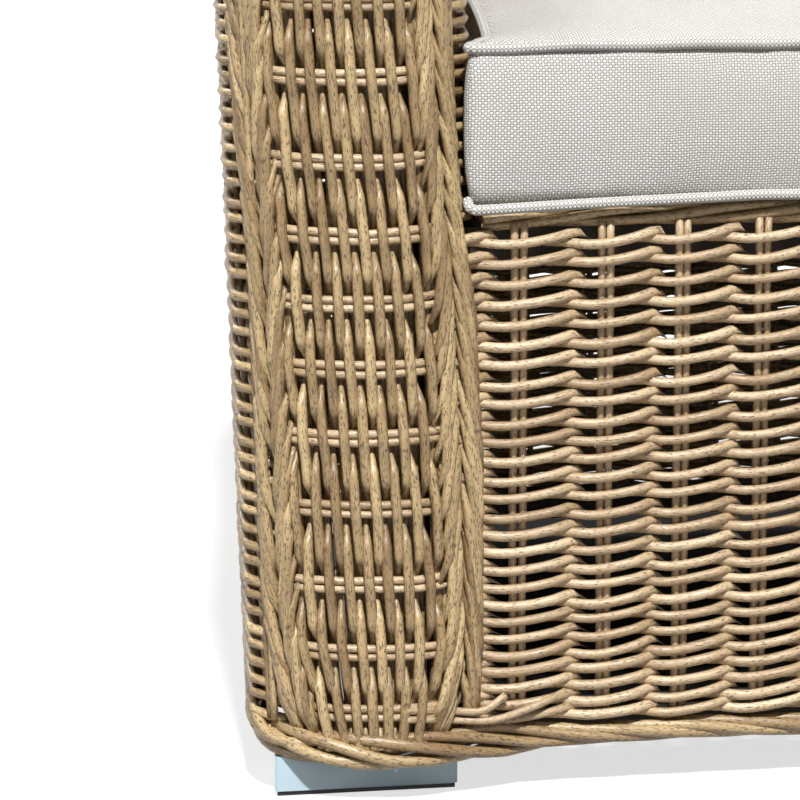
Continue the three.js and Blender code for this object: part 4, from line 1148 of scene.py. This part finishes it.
def apron():
    """The apron's rows and stakes, and its rolled upper edge."""
    rng = np.random.default_rng(APRON_SEED)
    low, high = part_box("apron_weave")
    zs = np.linspace(WALL_BOTTOM, SEAT_HEIGHT, 3)
    x, z = np.meshgrid(APRON_PLACES + APRON_DRIFT, zs, indexing="ij")
    points = np.stack([x, np.full_like(x, low.y + APRON_INSET), z], -1)
    surface = Surface(APRON_PLACES, zs, points, FRONTWARD)
    k = np.arange(APRON_ROWS)
    rows = APRON_FOOT + APRON_PITCH * k + APRON_WIDENING * k ** 2

    def span(row):
        reach = apron_end(row) + APRON_TUCK
        return -reach, reach

    strands = twined(surface, rows, rng, span, APRON_ORIGIN, APRON_STEP, canes=2, radius=APRON_RADIUS)
    ends = (lambda s: SKIN_BOTTOM - APRON_STAKE_DROP), (lambda s: SEAT_HEIGHT - APRON_STAKE_GAP)
    strands += stakes(surface, *span(SKIN_BOTTOM), *ends, rng, APRON_ORIGIN)
    low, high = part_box("apron_top_border")
    x = np.linspace(low.x, high.x, 200)
    path = np.stack([x, np.full_like(x, low.y + EDGE_INSET), np.full_like(x, high.z - EDGE_DROP)], 1)
    outward = np.tile(FRONTWARD, (len(x), 1))
    return strands, rope(path, outward, EDGE_TALL, EDGE_DEEP, EDGE_CANES, EDGE_TWIST, EDGE_RADIUS, rng)


DECK_RISE = 4 * MM  # the deck's canes stand higher than its solid, under the raised cushions
DECK_GAP = 3 * MM
DECK_REAR_GAP = 4 * MM
DECK_BAND = 22 * MM
DECK_STEP = DECK_BAND / 3
DECK_LANES = np.array([-6, 0, 6]) * MM
DECK_COLUMNS = 27  # on each side of the middle one
DECK_WAVE = 2.2 * MM
DECK_RADIUS = 2.3 * MM


def deck():
    """The woven deck under the seat cushions: bands of three canes over and under each other."""
    outline = np.array([tuple(v.co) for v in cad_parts["seat_deck_weave"].data.vertices])
    low, high = outline.min(0), outline.max(0)
    right = outline[outline[:, 0] > 0]
    right = right[np.argsort(right[:, 1])]
    strands = []

    def add(x, y, phase):
        z = (low[2] + high[2]) / 2 + DECK_RISE + DECK_WAVE * np.cos(math.pi * phase)
        points = np.stack(np.broadcast_arrays(x, y, z), 1)
        strands.append((points, np.tile(UP, (len(points), 1)), DECK_RADIUS))

    rows = np.arange(low[1] + DECK_BAND / 2, high[1] - DECK_REAR_GAP, DECK_BAND)
    for i, row in enumerate(rows):
        for line in row + DECK_LANES:
            reach = float(np.interp(line, right[:, 1], right[:, 0])) - DECK_GAP
            x = np.linspace(-reach, reach, int(2 * reach / DECK_STEP) + 2)
            add(x, line, x / DECK_BAND + i)
    for j in range(-DECK_COLUMNS, DECK_COLUMNS + 1):
        for line in j * DECK_BAND + DECK_LANES:
            inside = right[right[:, 0] >= abs(line), 1]
            y = np.arange(low[1] + DECK_GAP, inside.max(initial=low[1]) - DECK_GAP, DECK_STEP)
            if len(y) >= 4:
                add(line, y, (y - rows[0]) / DECK_BAND + j + 1)
    return strands


def frame_piece(name, strands, sides, material, seed, *replaced):
    piece = strand_mesh(name, strands, sides, material, "sofa_frame", seed)
    if replaced:
        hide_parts(*replaced)


def weave_all():
    for mirror, side in ((1, "right"), (-1, "left")):
        seed = SIDE_SEED + mirror
        for label, (arm, back) in wall_panels(mirror, seed).items():
            name = f"arm_{side}_{label}_weave"
            frame_piece(name, arm, WALL_SIDES, CANE, seed, name)
            frame_piece(f"back_{label}_{side}", back, WALL_SIDES, CANE, seed, f"back_{label}_weave")
        upright, pairs = arm_front(mirror, seed)
        frame_piece(f"arm_{side}_front_canes", upright, FRONT_SIDES, CANE, seed, f"arm_{side}_front_weave")
        frame_piece(f"arm_{side}_front_pairs", pairs, FRONT_SIDES, PALE_CANE, seed)
        plait = arm_plait(mirror, seed)
        frame_piece(f"arm_{side}_plait", plait, FRONT_SIDES, CANE, seed, f"arm_{side}_front_border")
        frame_piece(f"corner_sweeps_{side}", corner_sweeps(mirror, seed), FRONT_SIDES, CANE, seed)
        frame_piece(f"apron_sweeps_{side}", apron_sweeps(mirror, seed), FRONT_SIDES, PALE_CANE, seed)
    front, rear = base_ropes()
    borders = "base_front_border", "base_left_border", "base_right_border"
    frame_piece("base_front_rope", front, FRONT_SIDES, CANE, 3, *borders)
    frame_piece("base_rear_rope", rear, FRONT_SIDES, CANE, 4, "base_rear_border")
    rows, edge = apron()
    frame_piece("apron_twining", rows, WALL_SIDES, PALE_CANE, 8, "apron_weave")
    frame_piece("apron_rolled_edge", edge, EDGE_SIDES, CANE, 9, "apron_top_border")
    frame_piece("seat_deck_bands", deck(), WALL_SIDES, CANE, 10, "seat_deck_weave")


weave_all()


# Cushions

CUSHION_HEIGHT = 96 * MM
CUSHION_CROWN = 16 * MM
CUSHION_CLEARANCE = 4 * MM
CUSHION_GAP = 6 * MM
CUSHION_OVERHANG = 8 * MM
CUSHION_LIFT = 5 * MM  # the seat cushions lie on the apron's rolled edge
CORNER_SOFTNESS = 16 * MM
FRONT_SOFTNESS = 10 * MM  # radius of a seat cushion's corner beside the arm's nose
FLARE_MORE = 5.5 * MM  # the seat cushions spread this much more than the noses' solids curve away
FLARE_MOST = 16.5 * MM
FLARE_LENGTH = 20 * MM
DRAW_IN = 4 * MM
BAND_BULGE = 4.5 * MM  # of a cushion's band, between its seams
BACK_WIDTH_SHARE = 0.9
BACK_CLEARANCE = 7 * MM
BACK_CUSHION_HEIGHT = 377 * MM
BACK_CUSHION_DEPTH = 104 * MM
BACK_CUSHION_CROWN = 18 * MM
BACK_CUSHION_SINK = 20 * MM
BACK_CUSHION_REST = 1.5 * MM  # above the seat cushion
CONTACT = 0.4 * MM
PIPING_RADIUS = 3.2 * MM
PIPING_INSET = 2.4 * MM  # of a cushion's seams, so that its piping fits the same space
PIPING_OUT = 0.6 * MM
PIPING_WAVE = 0.5 * MM
PIPING_WAVE_SHARE = 0.4  # of that wave, outwards
PIPING_JOIN = 6  # points over which its two ends meet
SEAM_EDGE = 2.6 * MM  # from a cushion's lower or upper face to the middle of its piping
FORM_VOXEL = 6.5 * MM
OUTLINE_STEP = 6 * MM
FACE_SHARES = 0.12, 0.4, 0.65, 0.84, 0.94
BAND_SHARES = 0.0, 0.1, 0.25, 0.5, 0.75, 0.9, 1.0


def inner_line(y, clearance, z):
    """How far out the space between the arms reaches, at a depth and a height."""
    across = ARM_LEAN * z - ARM_HALF - clearance
    distance = (y - across * math.sin(ARM_SPLAY)) / math.cos(ARM_SPLAY)
    return ARM_SPREAD - distance * math.sin(ARM_SPLAY) + across * math.cos(ARM_SPLAY)


def inner_rear(clearance, z):
    return CORNER_Y + CORNER_RADIUS - BACK_HALF - clearance + BACK_LEAN * z


def rounded_corner(corner, before, after, radius):
    into, onto = unit(before - corner), unit(after - corner)
    half = math.acos(into @ onto) / 2
    centre = corner + unit(into + onto) * radius / math.sin(half)
    start = corner + into * radius / math.tan(half) - centre
    end = corner + onto * radius / math.tan(half) - centre
    share = np.linspace(0, 1, 12)[:, None]
    return centre + radius * unit(start * (1 - share) + end * share)


def cushion_outline(corners, radii):
    """Round corners, and sides that draw in between them, at even steps."""
    corners = np.array(corners, float)
    around = zip(corners, np.roll(corners, 1, 0), np.roll(corners, -1, 0), radii)
    arcs = [rounded_corner(*corner) for corner in around]
    share = np.linspace(0, 1, 40)[1:-1, None]
    points = []
    for arc, following in zip(arcs, arcs[1:] + arcs[:1]):
        along = following[0] - arc[-1]
        inwards = unit(np.array([-along[1], along[0]]))
        points += [arc, arc[-1] + along * share + inwards * DRAW_IN * np.sin(math.pi * share)]
    loop = np.concatenate(points + [arcs[0][:1]])
    s = lengths_along(loop)
    return read_along(loop, s, np.linspace(0, s[-1], int(s[-1] / OUTLINE_STEP), endpoint=False))


def ring_at(outline, share, z):
    centre = outline.mean(0)
    level = np.full((len(outline), 1), z)
    return np.concatenate([centre + (outline - centre) * share, level], 1)


def inset_outline(outline, distance):
    tangent = np.roll(outline, -1, 0) - np.roll(outline, 1, 0)
    return outline - unit(np.stack([tangent[:, 1], -tangent[:, 0]], 1)) * distance


def cushion_form(outline, height, crown, lower_crown):
    """Closed mesh of a boxed cushion: two crowned faces and the band between their seams."""
    rings = [ring_at(outline, share, lower_crown * (share ** 3 - 1)) for share in FACE_SHARES]
    for level in BAND_SHARES:
        bulge = BAND_BULGE * (1 - abs(2 * level - 1) ** 3)
        rings.append(ring_at(inset_outline(outline, -bulge), 1, level * height))
    rings += [ring_at(outline, share, height + crown * (1 - share ** 3)) for share in FACE_SHARES[::-1]]
    around = len(outline)
    verts = np.concatenate(rings)
    faces = [tuple(range(around))[::-1]]
    for row in range(len(rings) - 1):
        for i in range(around):
            n = (i + 1) % around
            a, b = row * around, (row + 1) * around
            faces.append((a + i, a + n, b + n, b + i))
    faces.append(tuple(range(len(verts) - around, len(verts))))
    mesh = bpy.data.meshes.new("cushion_form")
    mesh.from_pydata([tuple(v) for v in verts], [], faces)
    mesh.update()
    return mesh


def shown_mesh(piece):
    """The piece's mesh with its modifiers applied. The piece itself goes."""
    graph = bpy.context.evaluated_depsgraph_get()
    mesh = bpy.data.meshes.new_from_object(piece.evaluated_get(graph))
    bpy.data.objects.remove(piece)
    return mesh


def modified(mesh, kind, **values):
    """The mesh with one modifier applied."""
    piece = add_object("form", mesh)
    modifier = piece.modifiers.new(kind, kind)
    for key, value in values.items():
        setattr(modifier, key, value)
    bpy.context.view_layer.update()
    return shown_mesh(piece)


def vertex_array(mesh):
    values = np.empty(len(mesh.vertices) * 3, np.float32)
    mesh.vertices.foreach_get("co", values)
    return values.reshape(-1, 3).astype(float)


def set_vertices(mesh, points):
    mesh.vertices.foreach_set("co", points.astype(np.float32).ravel())
    mesh.update()


def nearest_on(rings, points):
    """Distance from each point to the seams, and its place along the nearest one."""
    seam = np.concatenate(rings)
    tree = KDTree(len(seam))
    for i, p in enumerate(seam):
        tree.insert(p, i)
    tree.balance()
    found = [tree.find(p) for p in points]
    return np.array([f[2] for f in found]), np.array([f[1] for f in found]) * OUTLINE_STEP


PUFF_FRAMES = 20
PUFF_PRESSURE = 4.0
FACE_RISE = 7 * MM  # how far a face may swell
BAND_RISE = 2 * MM  # how far the band may swell
SEAM_HALF = 5 * MM  # of the strip along a seam that holds still
GATHER_PITCH = 13 * MM
GATHER = 0.5 * MM
GATHER_REACH = 14 * MM
CREASE = 1.2 * MM
CREASE_HALF = 4 * MM


def puffed(mesh, rings, height):
    """The form swollen by its filling, with its seams held."""
    start = vertex_array(mesh)
    distance = nearest_on(rings, start)[0]
    piece = add_object("pad", mesh)
    held = piece.vertex_groups.new(name="seams")
    held.add([int(i) for i in np.flatnonzero(distance < SEAM_HALF)], 1.0, "REPLACE")
    cloth = piece.modifiers.new("cloth", "CLOTH")
    settings = cloth.settings
    settings.quality = 6
    settings.mass = 0.3
    settings.tension_stiffness = 12
    settings.compression_stiffness = 12
    settings.shear_stiffness = 4
    settings.bending_stiffness = 0.4
    settings.use_pressure = True
    settings.uniform_pressure_force = PUFF_PRESSURE
    settings.vertex_group_mass = "seams"
    settings.effector_weights.gravity = 0
    for frame_number in range(1, PUFF_FRAMES + 1):
        scene.frame_set(frame_number)
    swollen = shown_mesh(piece)
    scene.frame_set(1)
    on_band = (start[:, 2] > 0) & (start[:, 2] < height)
    limit = np.where(on_band, BAND_RISE, FACE_RISE)[:, None]
    move = vertex_array(swollen) - start
    length = np.linalg.norm(move, axis=1, keepdims=True) + TINY
    set_vertices(swollen, start + move / length * limit * np.tanh(length / limit))
    return swollen


def pucker(mesh, rings, seed):
    """Small gathers along the seams, and a crease where the piping is sewn in."""
    rng = np.random.default_rng(seed)
    points = vertex_array(mesh)
    distance, along = nearest_on(rings, points)
    normals = np.empty(len(points) * 3, np.float32)
    mesh.vertex_normals.foreach_get("vector", normals)
    knots = rng.normal(0, 1, int(along.max() / GATHER_PITCH) + 4)
    gather = np.interp(along / GATHER_PITCH, np.arange(len(knots)), knots)
    lift = GATHER * gather * np.exp(-distance / GATHER_REACH)
    lift = lift - CREASE * np.exp(-(distance / CREASE_HALF) ** 2)
    set_vertices(mesh, points + normals.reshape(-1, 3) * lift[:, None])


def cushion_shape(corners, radii, height, crown, lower_crown, seed, flare=None):
    """The sewn cushion lying flat, as a mesh, with the two rings that its piping follows."""
    outline = inset_outline(cushion_outline(corners, radii), PIPING_INSET)
    if flare:
        outline[:, 0] += flare(outline)
    rings = [ring_at(outline, 1, SEAM_EDGE), ring_at(outline, 1, height - SEAM_EDGE)]
    form = cushion_form(outline, height, crown, lower_crown)
    form = modified(form, "REMESH", mode="VOXEL", voxel_size=FORM_VOXEL)
    form = modified(form, "SMOOTH", factor=0.5, iterations=2)
    form = modified(puffed(form, rings, height), "SUBSURF", levels=1)
    pucker(form, rings, seed)
    return form, rings


def placed(mesh, matrix, mirror):
    """A copy of the flat cushion where it lies on the sofa, on the right or mirrored to the left."""
    result = mesh.copy()
    result.transform(matrix)
    if mirror < 0:
        set_vertices(result, vertex_array(result) * TO_LEFT)
        result.flip_normals()
    result.update()
    return result


def add_cushion(name, mesh):
    for polygon in mesh.polygons:
        polygon.use_smooth = True
    mesh.materials.clear()
    mesh.materials.append(FABRIC)
    piece = add_object(name, mesh)
    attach(piece, name)
    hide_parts(f"{name}_cover")


def add_piping(name, rings, matrix, mirror, sag, seed, tint_seed):
    """Closed cords along the seams. sag lowers them at given points."""
    rng = np.random.default_rng(seed)
    strands = []
    turn = np.array(matrix.to_3x3())
    shift = np.array(matrix.translation)
    for ring in rings:
        outwards = unit(ring - ring.mean(0))
        wave = wander(rng, len(ring), OUTLINE_STEP, PIPING_WAVE)
        wave[-PIPING_JOIN:] = np.linspace(wave[-PIPING_JOIN], wave[0], PIPING_JOIN)
        path = ring + outwards * (PIPING_OUT + PIPING_WAVE_SHARE * wave[:, None])
        path[:, 2] += wave
        path = np.concatenate([path, path[:2]]) @ turn.T + shift
        path[:, 2] -= sag(path)
        normals = np.concatenate([outwards, outwards[:2]]) @ turn.T
        strands.append((path * [mirror, 1, 1], normals * [mirror, 1, 1], PIPING_RADIUS))
    strand_mesh(f"{name}_piping", strands, CORD_SIDES, PIPING, name, tint_seed)


def seat_cushion_layout():
    front = APRON_Y + ORIGIN_BACK - CUSHION_OVERHANG
    rear = inner_rear(CUSHION_CLEARANCE, SEAT_HEIGHT)
    inner = CUSHION_GAP / 2
    front_out, rear_out = (inner_line(y, CUSHION_CLEARANCE, SEAT_HEIGHT) for y in (front, rear))
    corners = (inner, front), (front_out, front), (rear_out, rear), (inner, rear)
    radii = CORNER_SOFTNESS, FRONT_SOFTNESS, CORNER_RADIUS, CORNER_SOFTNESS
    return corners, radii, Matrix.Translation((0, -ORIGIN_BACK, SEAT_HEIGHT + CONTACT + CUSHION_LIFT))


def front_flare(outline):
    """The seat cushions spread where the arms' noses curve away from them."""
    forward = np.clip(-outline[:, 1] - ARM_HALF * math.sin(ARM_SPLAY), 0, NOSE_DEPTH)
    room = ARM_HALF * (1 - (1 - (forward / NOSE_DEPTH) ** ROUNDNESS) ** (1 / ROUNDNESS))
    room = room + FLARE_MORE * smooth(forward / FLARE_LENGTH)
    beside_arm = outline[:, 0] > outline[:, 0].mean()
    return np.where(beside_arm, np.minimum(room, FLARE_MOST), 0)


def back_cushion_layout():
    base = SEAT_HEIGHT + CONTACT + CUSHION_HEIGHT + CUSHION_CROWN - BACK_CUSHION_SINK
    foot = inner_rear(BACK_CLEARANCE, base)
    wide = BACK_WIDTH_SHARE * inner_line(foot, BACK_CLEARANCE, base) - CUSHION_GAP / 2
    corners = (0, 0), (wide, 0), (wide, BACK_CUSHION_HEIGHT), (0, BACK_CUSHION_HEIGHT)
    place = Matrix.Translation((CUSHION_GAP / 2, foot - BACK_CUSHION_CROWN - ORIGIN_BACK, base))
    place = place @ Matrix.Rotation(math.pi / 2 - math.atan(BACK_LEAN), 4, "X")
    return corners, [CORNER_SOFTNESS] * 4, place


CAST_HEIGHT = 1.0


def face_tree(mesh):
    return BVHTree.FromPolygons([v.co for v in mesh.vertices], [tuple(p.vertices) for p in mesh.polygons])


def raised(tree, x, y, z, clearance):
    """The height z, or where the support at that place reaches higher, its height and a clearance."""
    hit = tree.ray_cast(Vector((x, y, CAST_HEIGHT)), Vector((0, 0, -1)))[0]
    return z if hit is None else max(z, hit.z + clearance)


ZIP_BEFORE = 14 * MM  # of the zip on the near side of its slider
ZIP_LENGTH = 300 * MM
TEETH_RADIUS = 1.6 * MM
TAPE_RADIUS = 3.4 * MM
TAPE_OUT = 4.2 * MM  # from the teeth to the middle of the tape on one side
TAPE_SINK = 2.6 * MM  # so that only a flat part of the tape stands out of the cover
CAST_FROM = 80 * MM  # behind the slider, where the search for the cover's face starts


def add_zip(name, side, mesh):
    """Teeth and tape of the zip in a cushion's rear face, along the way of its slider."""
    low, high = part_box(f"{name}_zip_slider")
    middle = (low + high) / 2
    tree = face_tree(mesh)
    hits = []
    for along in np.linspace(-ZIP_BEFORE, ZIP_LENGTH - ZIP_BEFORE, 61):
        start = Vector((middle.x + side * along, middle.y + CAST_FROM, middle.z))
        hits.append(tree.ray_cast(start, Vector(FRONTWARD))[:2])
    points, normals = (np.array(part) for part in zip(*hits))
    upward = np.cross(normals, [1, 0, 0])
    tapes = []
    for way in (-TAPE_OUT, TAPE_OUT):
        tapes.append((points + upward * way - normals * TAPE_SINK, normals, TAPE_RADIUS))
    strand_mesh(f"{name}_zip_tape", tapes, CORD_SIDES, ZIP_TAPE, name, TAPE_SEED)
    teeth = [(points, normals, TEETH_RADIUS)]
    strand_mesh(f"{name}_zip_teeth", teeth, FRONT_SIDES, ZIP_TEETH, name, TEETH_SEED)


# The lower piping hangs a little where it overhangs the apron, most beside the arm
HANG = 1 * MM
HANG_MORE = 5 * MM
HANG_DEPTH = 7 * MM
HANG_TOP = SEAT_HEIGHT + 20 * MM
HANG_SIDE = 630 * MM
HANG_WIDTH = 200 * MM


def front_hang(path):
    low = path[:, 2] < HANG_TOP
    near = np.clip(1 - (path[:, 1] - APRON_Y + CUSHION_OVERHANG) / HANG_DEPTH, 0, 1)
    beside = np.clip(1 - (HANG_SIDE - np.abs(path[:, 0])) / HANG_WIDTH, 0, 1)
    return low * near * (HANG + HANG_MORE * beside)


def cushions():
    corners, radii, seat_place = seat_cushion_layout()
    seat, seat_rings = cushion_shape(corners, radii, CUSHION_HEIGHT, CUSHION_CROWN, 0, SEAT_SEED, front_flare)
    corners, radii, back_place = back_cushion_layout()
    crowns = BACK_CUSHION_CROWN, BACK_CUSHION_CROWN
    back, back_rings = cushion_shape(corners, radii, BACK_CUSHION_DEPTH, *crowns, BACK_SEED)
    for mirror, side in ((1, "right"), (-1, "left")):
        name = f"seat_cushion_{side}"
        seat_mesh = placed(seat, seat_place, mirror)
        tree = face_tree(seat_mesh)
        add_cushion(name, seat_mesh)
        add_piping(name, seat_rings, seat_place, mirror, front_hang, SEAT_CORD_SEED + mirror, SEAT_CORD_SEED)
        add_zip(name, mirror, seat_mesh)

        def sunk(path, mirror=mirror, tree=tree):
            """How far the back cushion's piping lies in the seat cushion, below zero."""
            return np.array([z - raised(tree, mirror * x, y, z, PIPING_RADIUS) for x, y, z in path])

        name = f"back_cushion_{side}"
        back_mesh = placed(back, back_place, mirror)
        for vertex in back_mesh.vertices:
            vertex.co.z = raised(tree, *vertex.co, BACK_CUSHION_REST)
        back_mesh.update()
        add_cushion(name, back_mesh)
        add_zip(name, mirror, back_mesh)
        seeds = BACK_CORD_SEED + mirror, BACK_CORD_TINT_SEED
        add_piping(name, back_rings, back_place, mirror, sunk, *seeds)


cushions()


# Frame, feet and inner pieces keep their solids

SOLID_MATERIALS = (
    ("_rail", FRAME_METAL), ("_post", FRAME_METAL), ("_hoop", FRAME_METAL), ("seat_bearer", FRAME_METAL),
    ("_foot", FOOT_METAL), ("_glide", PAD), ("_slider", ZIP_METAL), ("_core", FOAM), ("_cover", FABRIC),
)

for name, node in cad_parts.items():
    fitting = [material for part, material in SOLID_MATERIALS if part in name]
    node.data.materials.clear()
    node.data.materials.append(fitting[0] if fitting else CANE)


# Floor, light and camera

FLOOR_REACH = 30.0
# painted shade: the near-black of the floor where it is seen under the sofa
PAINTED_SHADE_GREY = 0.03, 0.03, 0.03
MID_GREY = 0.26, 0.26, 0.26
FLOOR_GLOW_SHARE = 0.7  # of the floor that is seen, so that its shadow stays pale
# Painted shade: the floor under the sofa is painted dark between these distances in from the solids' sides,
# front and rear
SHADE_SIDE = np.array([40, 90]) * MM
SHADE_FRONT = np.array([190, 240]) * MM
SHADE_REAR = np.array([10, 50]) * MM
WORLD_STRENGTH = 0.22
CAMERA_TARGET = Vector((-687, -408, 245)) * MM
CAMERA_DISTANCE = 2400 * MM
CAMERA_LENS = 183.6
CAMERA_SENSOR = 36


def seen_directly(m):
    """1 on rays from the camera and on mirrored or refracted ones, which show the background."""
    path = m.add("ShaderNodeLightPath").outputs
    mirrored = m.math("MAXIMUM", path["Is Camera Ray"], path["Is Glossy Ray"])
    return m.math("MAXIMUM", mirrored, path["Is Transmission Ray"])


def floor_piece():
    """A mid grey to the light. It is white where it is seen beside the sofa, and painted dark under the sofa
    as shade.
    """
    mesh = bpy.data.meshes.new("floor")
    corners = [(x * FLOOR_REACH, y * FLOOR_REACH, 0) for x, y in ((-1, -1), (1, -1), (1, 1), (-1, 1))]
    mesh.from_pydata(corners, [], [(0, 1, 2, 3)])
    floor = add_object("floor", mesh)
    m = material_nodes("floor")
    x, y = m.split(m.place())[:2]
    low, high = cad_box
    narrowing = m.times(m.minus(y, low.y), math.tan(ARM_SPLAY))
    across = m.ramp(m.plus(m.math("ABSOLUTE", x), narrowing), *(high.x - SHADE_SIDE))
    behind = m.ramp(y, *(low.y + SHADE_FRONT))
    ahead = m.ramp(y, *(high.y - SHADE_REAR))
    # Painted shade: a dark patch under the sofa, where the seen floor is near-black and has no glow
    painted_shade = m.times(m.times(across, behind), ahead)
    direct = seen_directly(m)
    shown = m.mix(painted_shade, WHITE, PAINTED_SHADE_GREY)
    m.set(Base_Color=m.mix(direct, MID_GREY, shown), Roughness=0.95, Specular_IOR_Level=0.1)
    glow = m.add("ShaderNodeEmission")
    paler = m.add("ShaderNodeMixShader")
    seen = m.times(m.times(direct, m.minus(1.0, painted_shade)), FLOOR_GLOW_SHARE)
    for socket, value in zip(paler.inputs, (seen, m.shader.outputs[0], glow.outputs[0])):
        m.feed(socket, value)
    m.feed(m.tree.nodes["Material Output"].inputs["Surface"], paler.outputs[0])
    mesh.materials.append(m.owner)


def world_light():
    world = bpy.data.worlds.new("studio")
    scene.world = world
    m = Nodes(world)
    strength = m.between(seen_directly(m), WORLD_STRENGTH, 1.0)
    m.feed_all(m.tree.nodes["Background"], Strength=strength, Color=WHITE)


def towards(azimuth, elevation):
    """Unit vector towards a place seen at these angles, in degrees."""
    azimuth, elevation = math.radians(azimuth), math.radians(elevation)
    level = math.cos(elevation)
    return Vector((math.sin(azimuth) * level, -math.cos(azimuth) * level, math.sin(elevation)))


def sun(name, strength, azimuth, elevation, softness):
    light = bpy.data.lights.new(name, "SUN")
    light.energy = strength
    light.angle = math.radians(softness)
    thing = add_object(name, light)
    thing.rotation_euler = towards(azimuth, elevation).to_track_quat("Z", "Y").to_euler()


def camera_at(azimuth, elevation):
    camera = bpy.data.cameras.new("camera")
    camera.lens = CAMERA_LENS
    camera.sensor_width = CAMERA_SENSOR
    thing = add_object("camera", camera)
    away = towards(azimuth, elevation)
    thing.location = CAMERA_TARGET + away * CAMERA_DISTANCE
    thing.rotation_euler = away.to_track_quat("Z", "Y").to_euler()
    scene.camera = thing


floor_piece()
world_light()
sun("key", strength=4.4, azimuth=-7, elevation=52, softness=2.5)
sun("back", strength=1.1, azimuth=205, elevation=40, softness=12)
sun("side", strength=0.5, azimuth=-80, elevation=30, softness=20)
camera_at(azimuth=-10.5, elevation=10.4)
scene.view_settings.view_transform = "Standard"
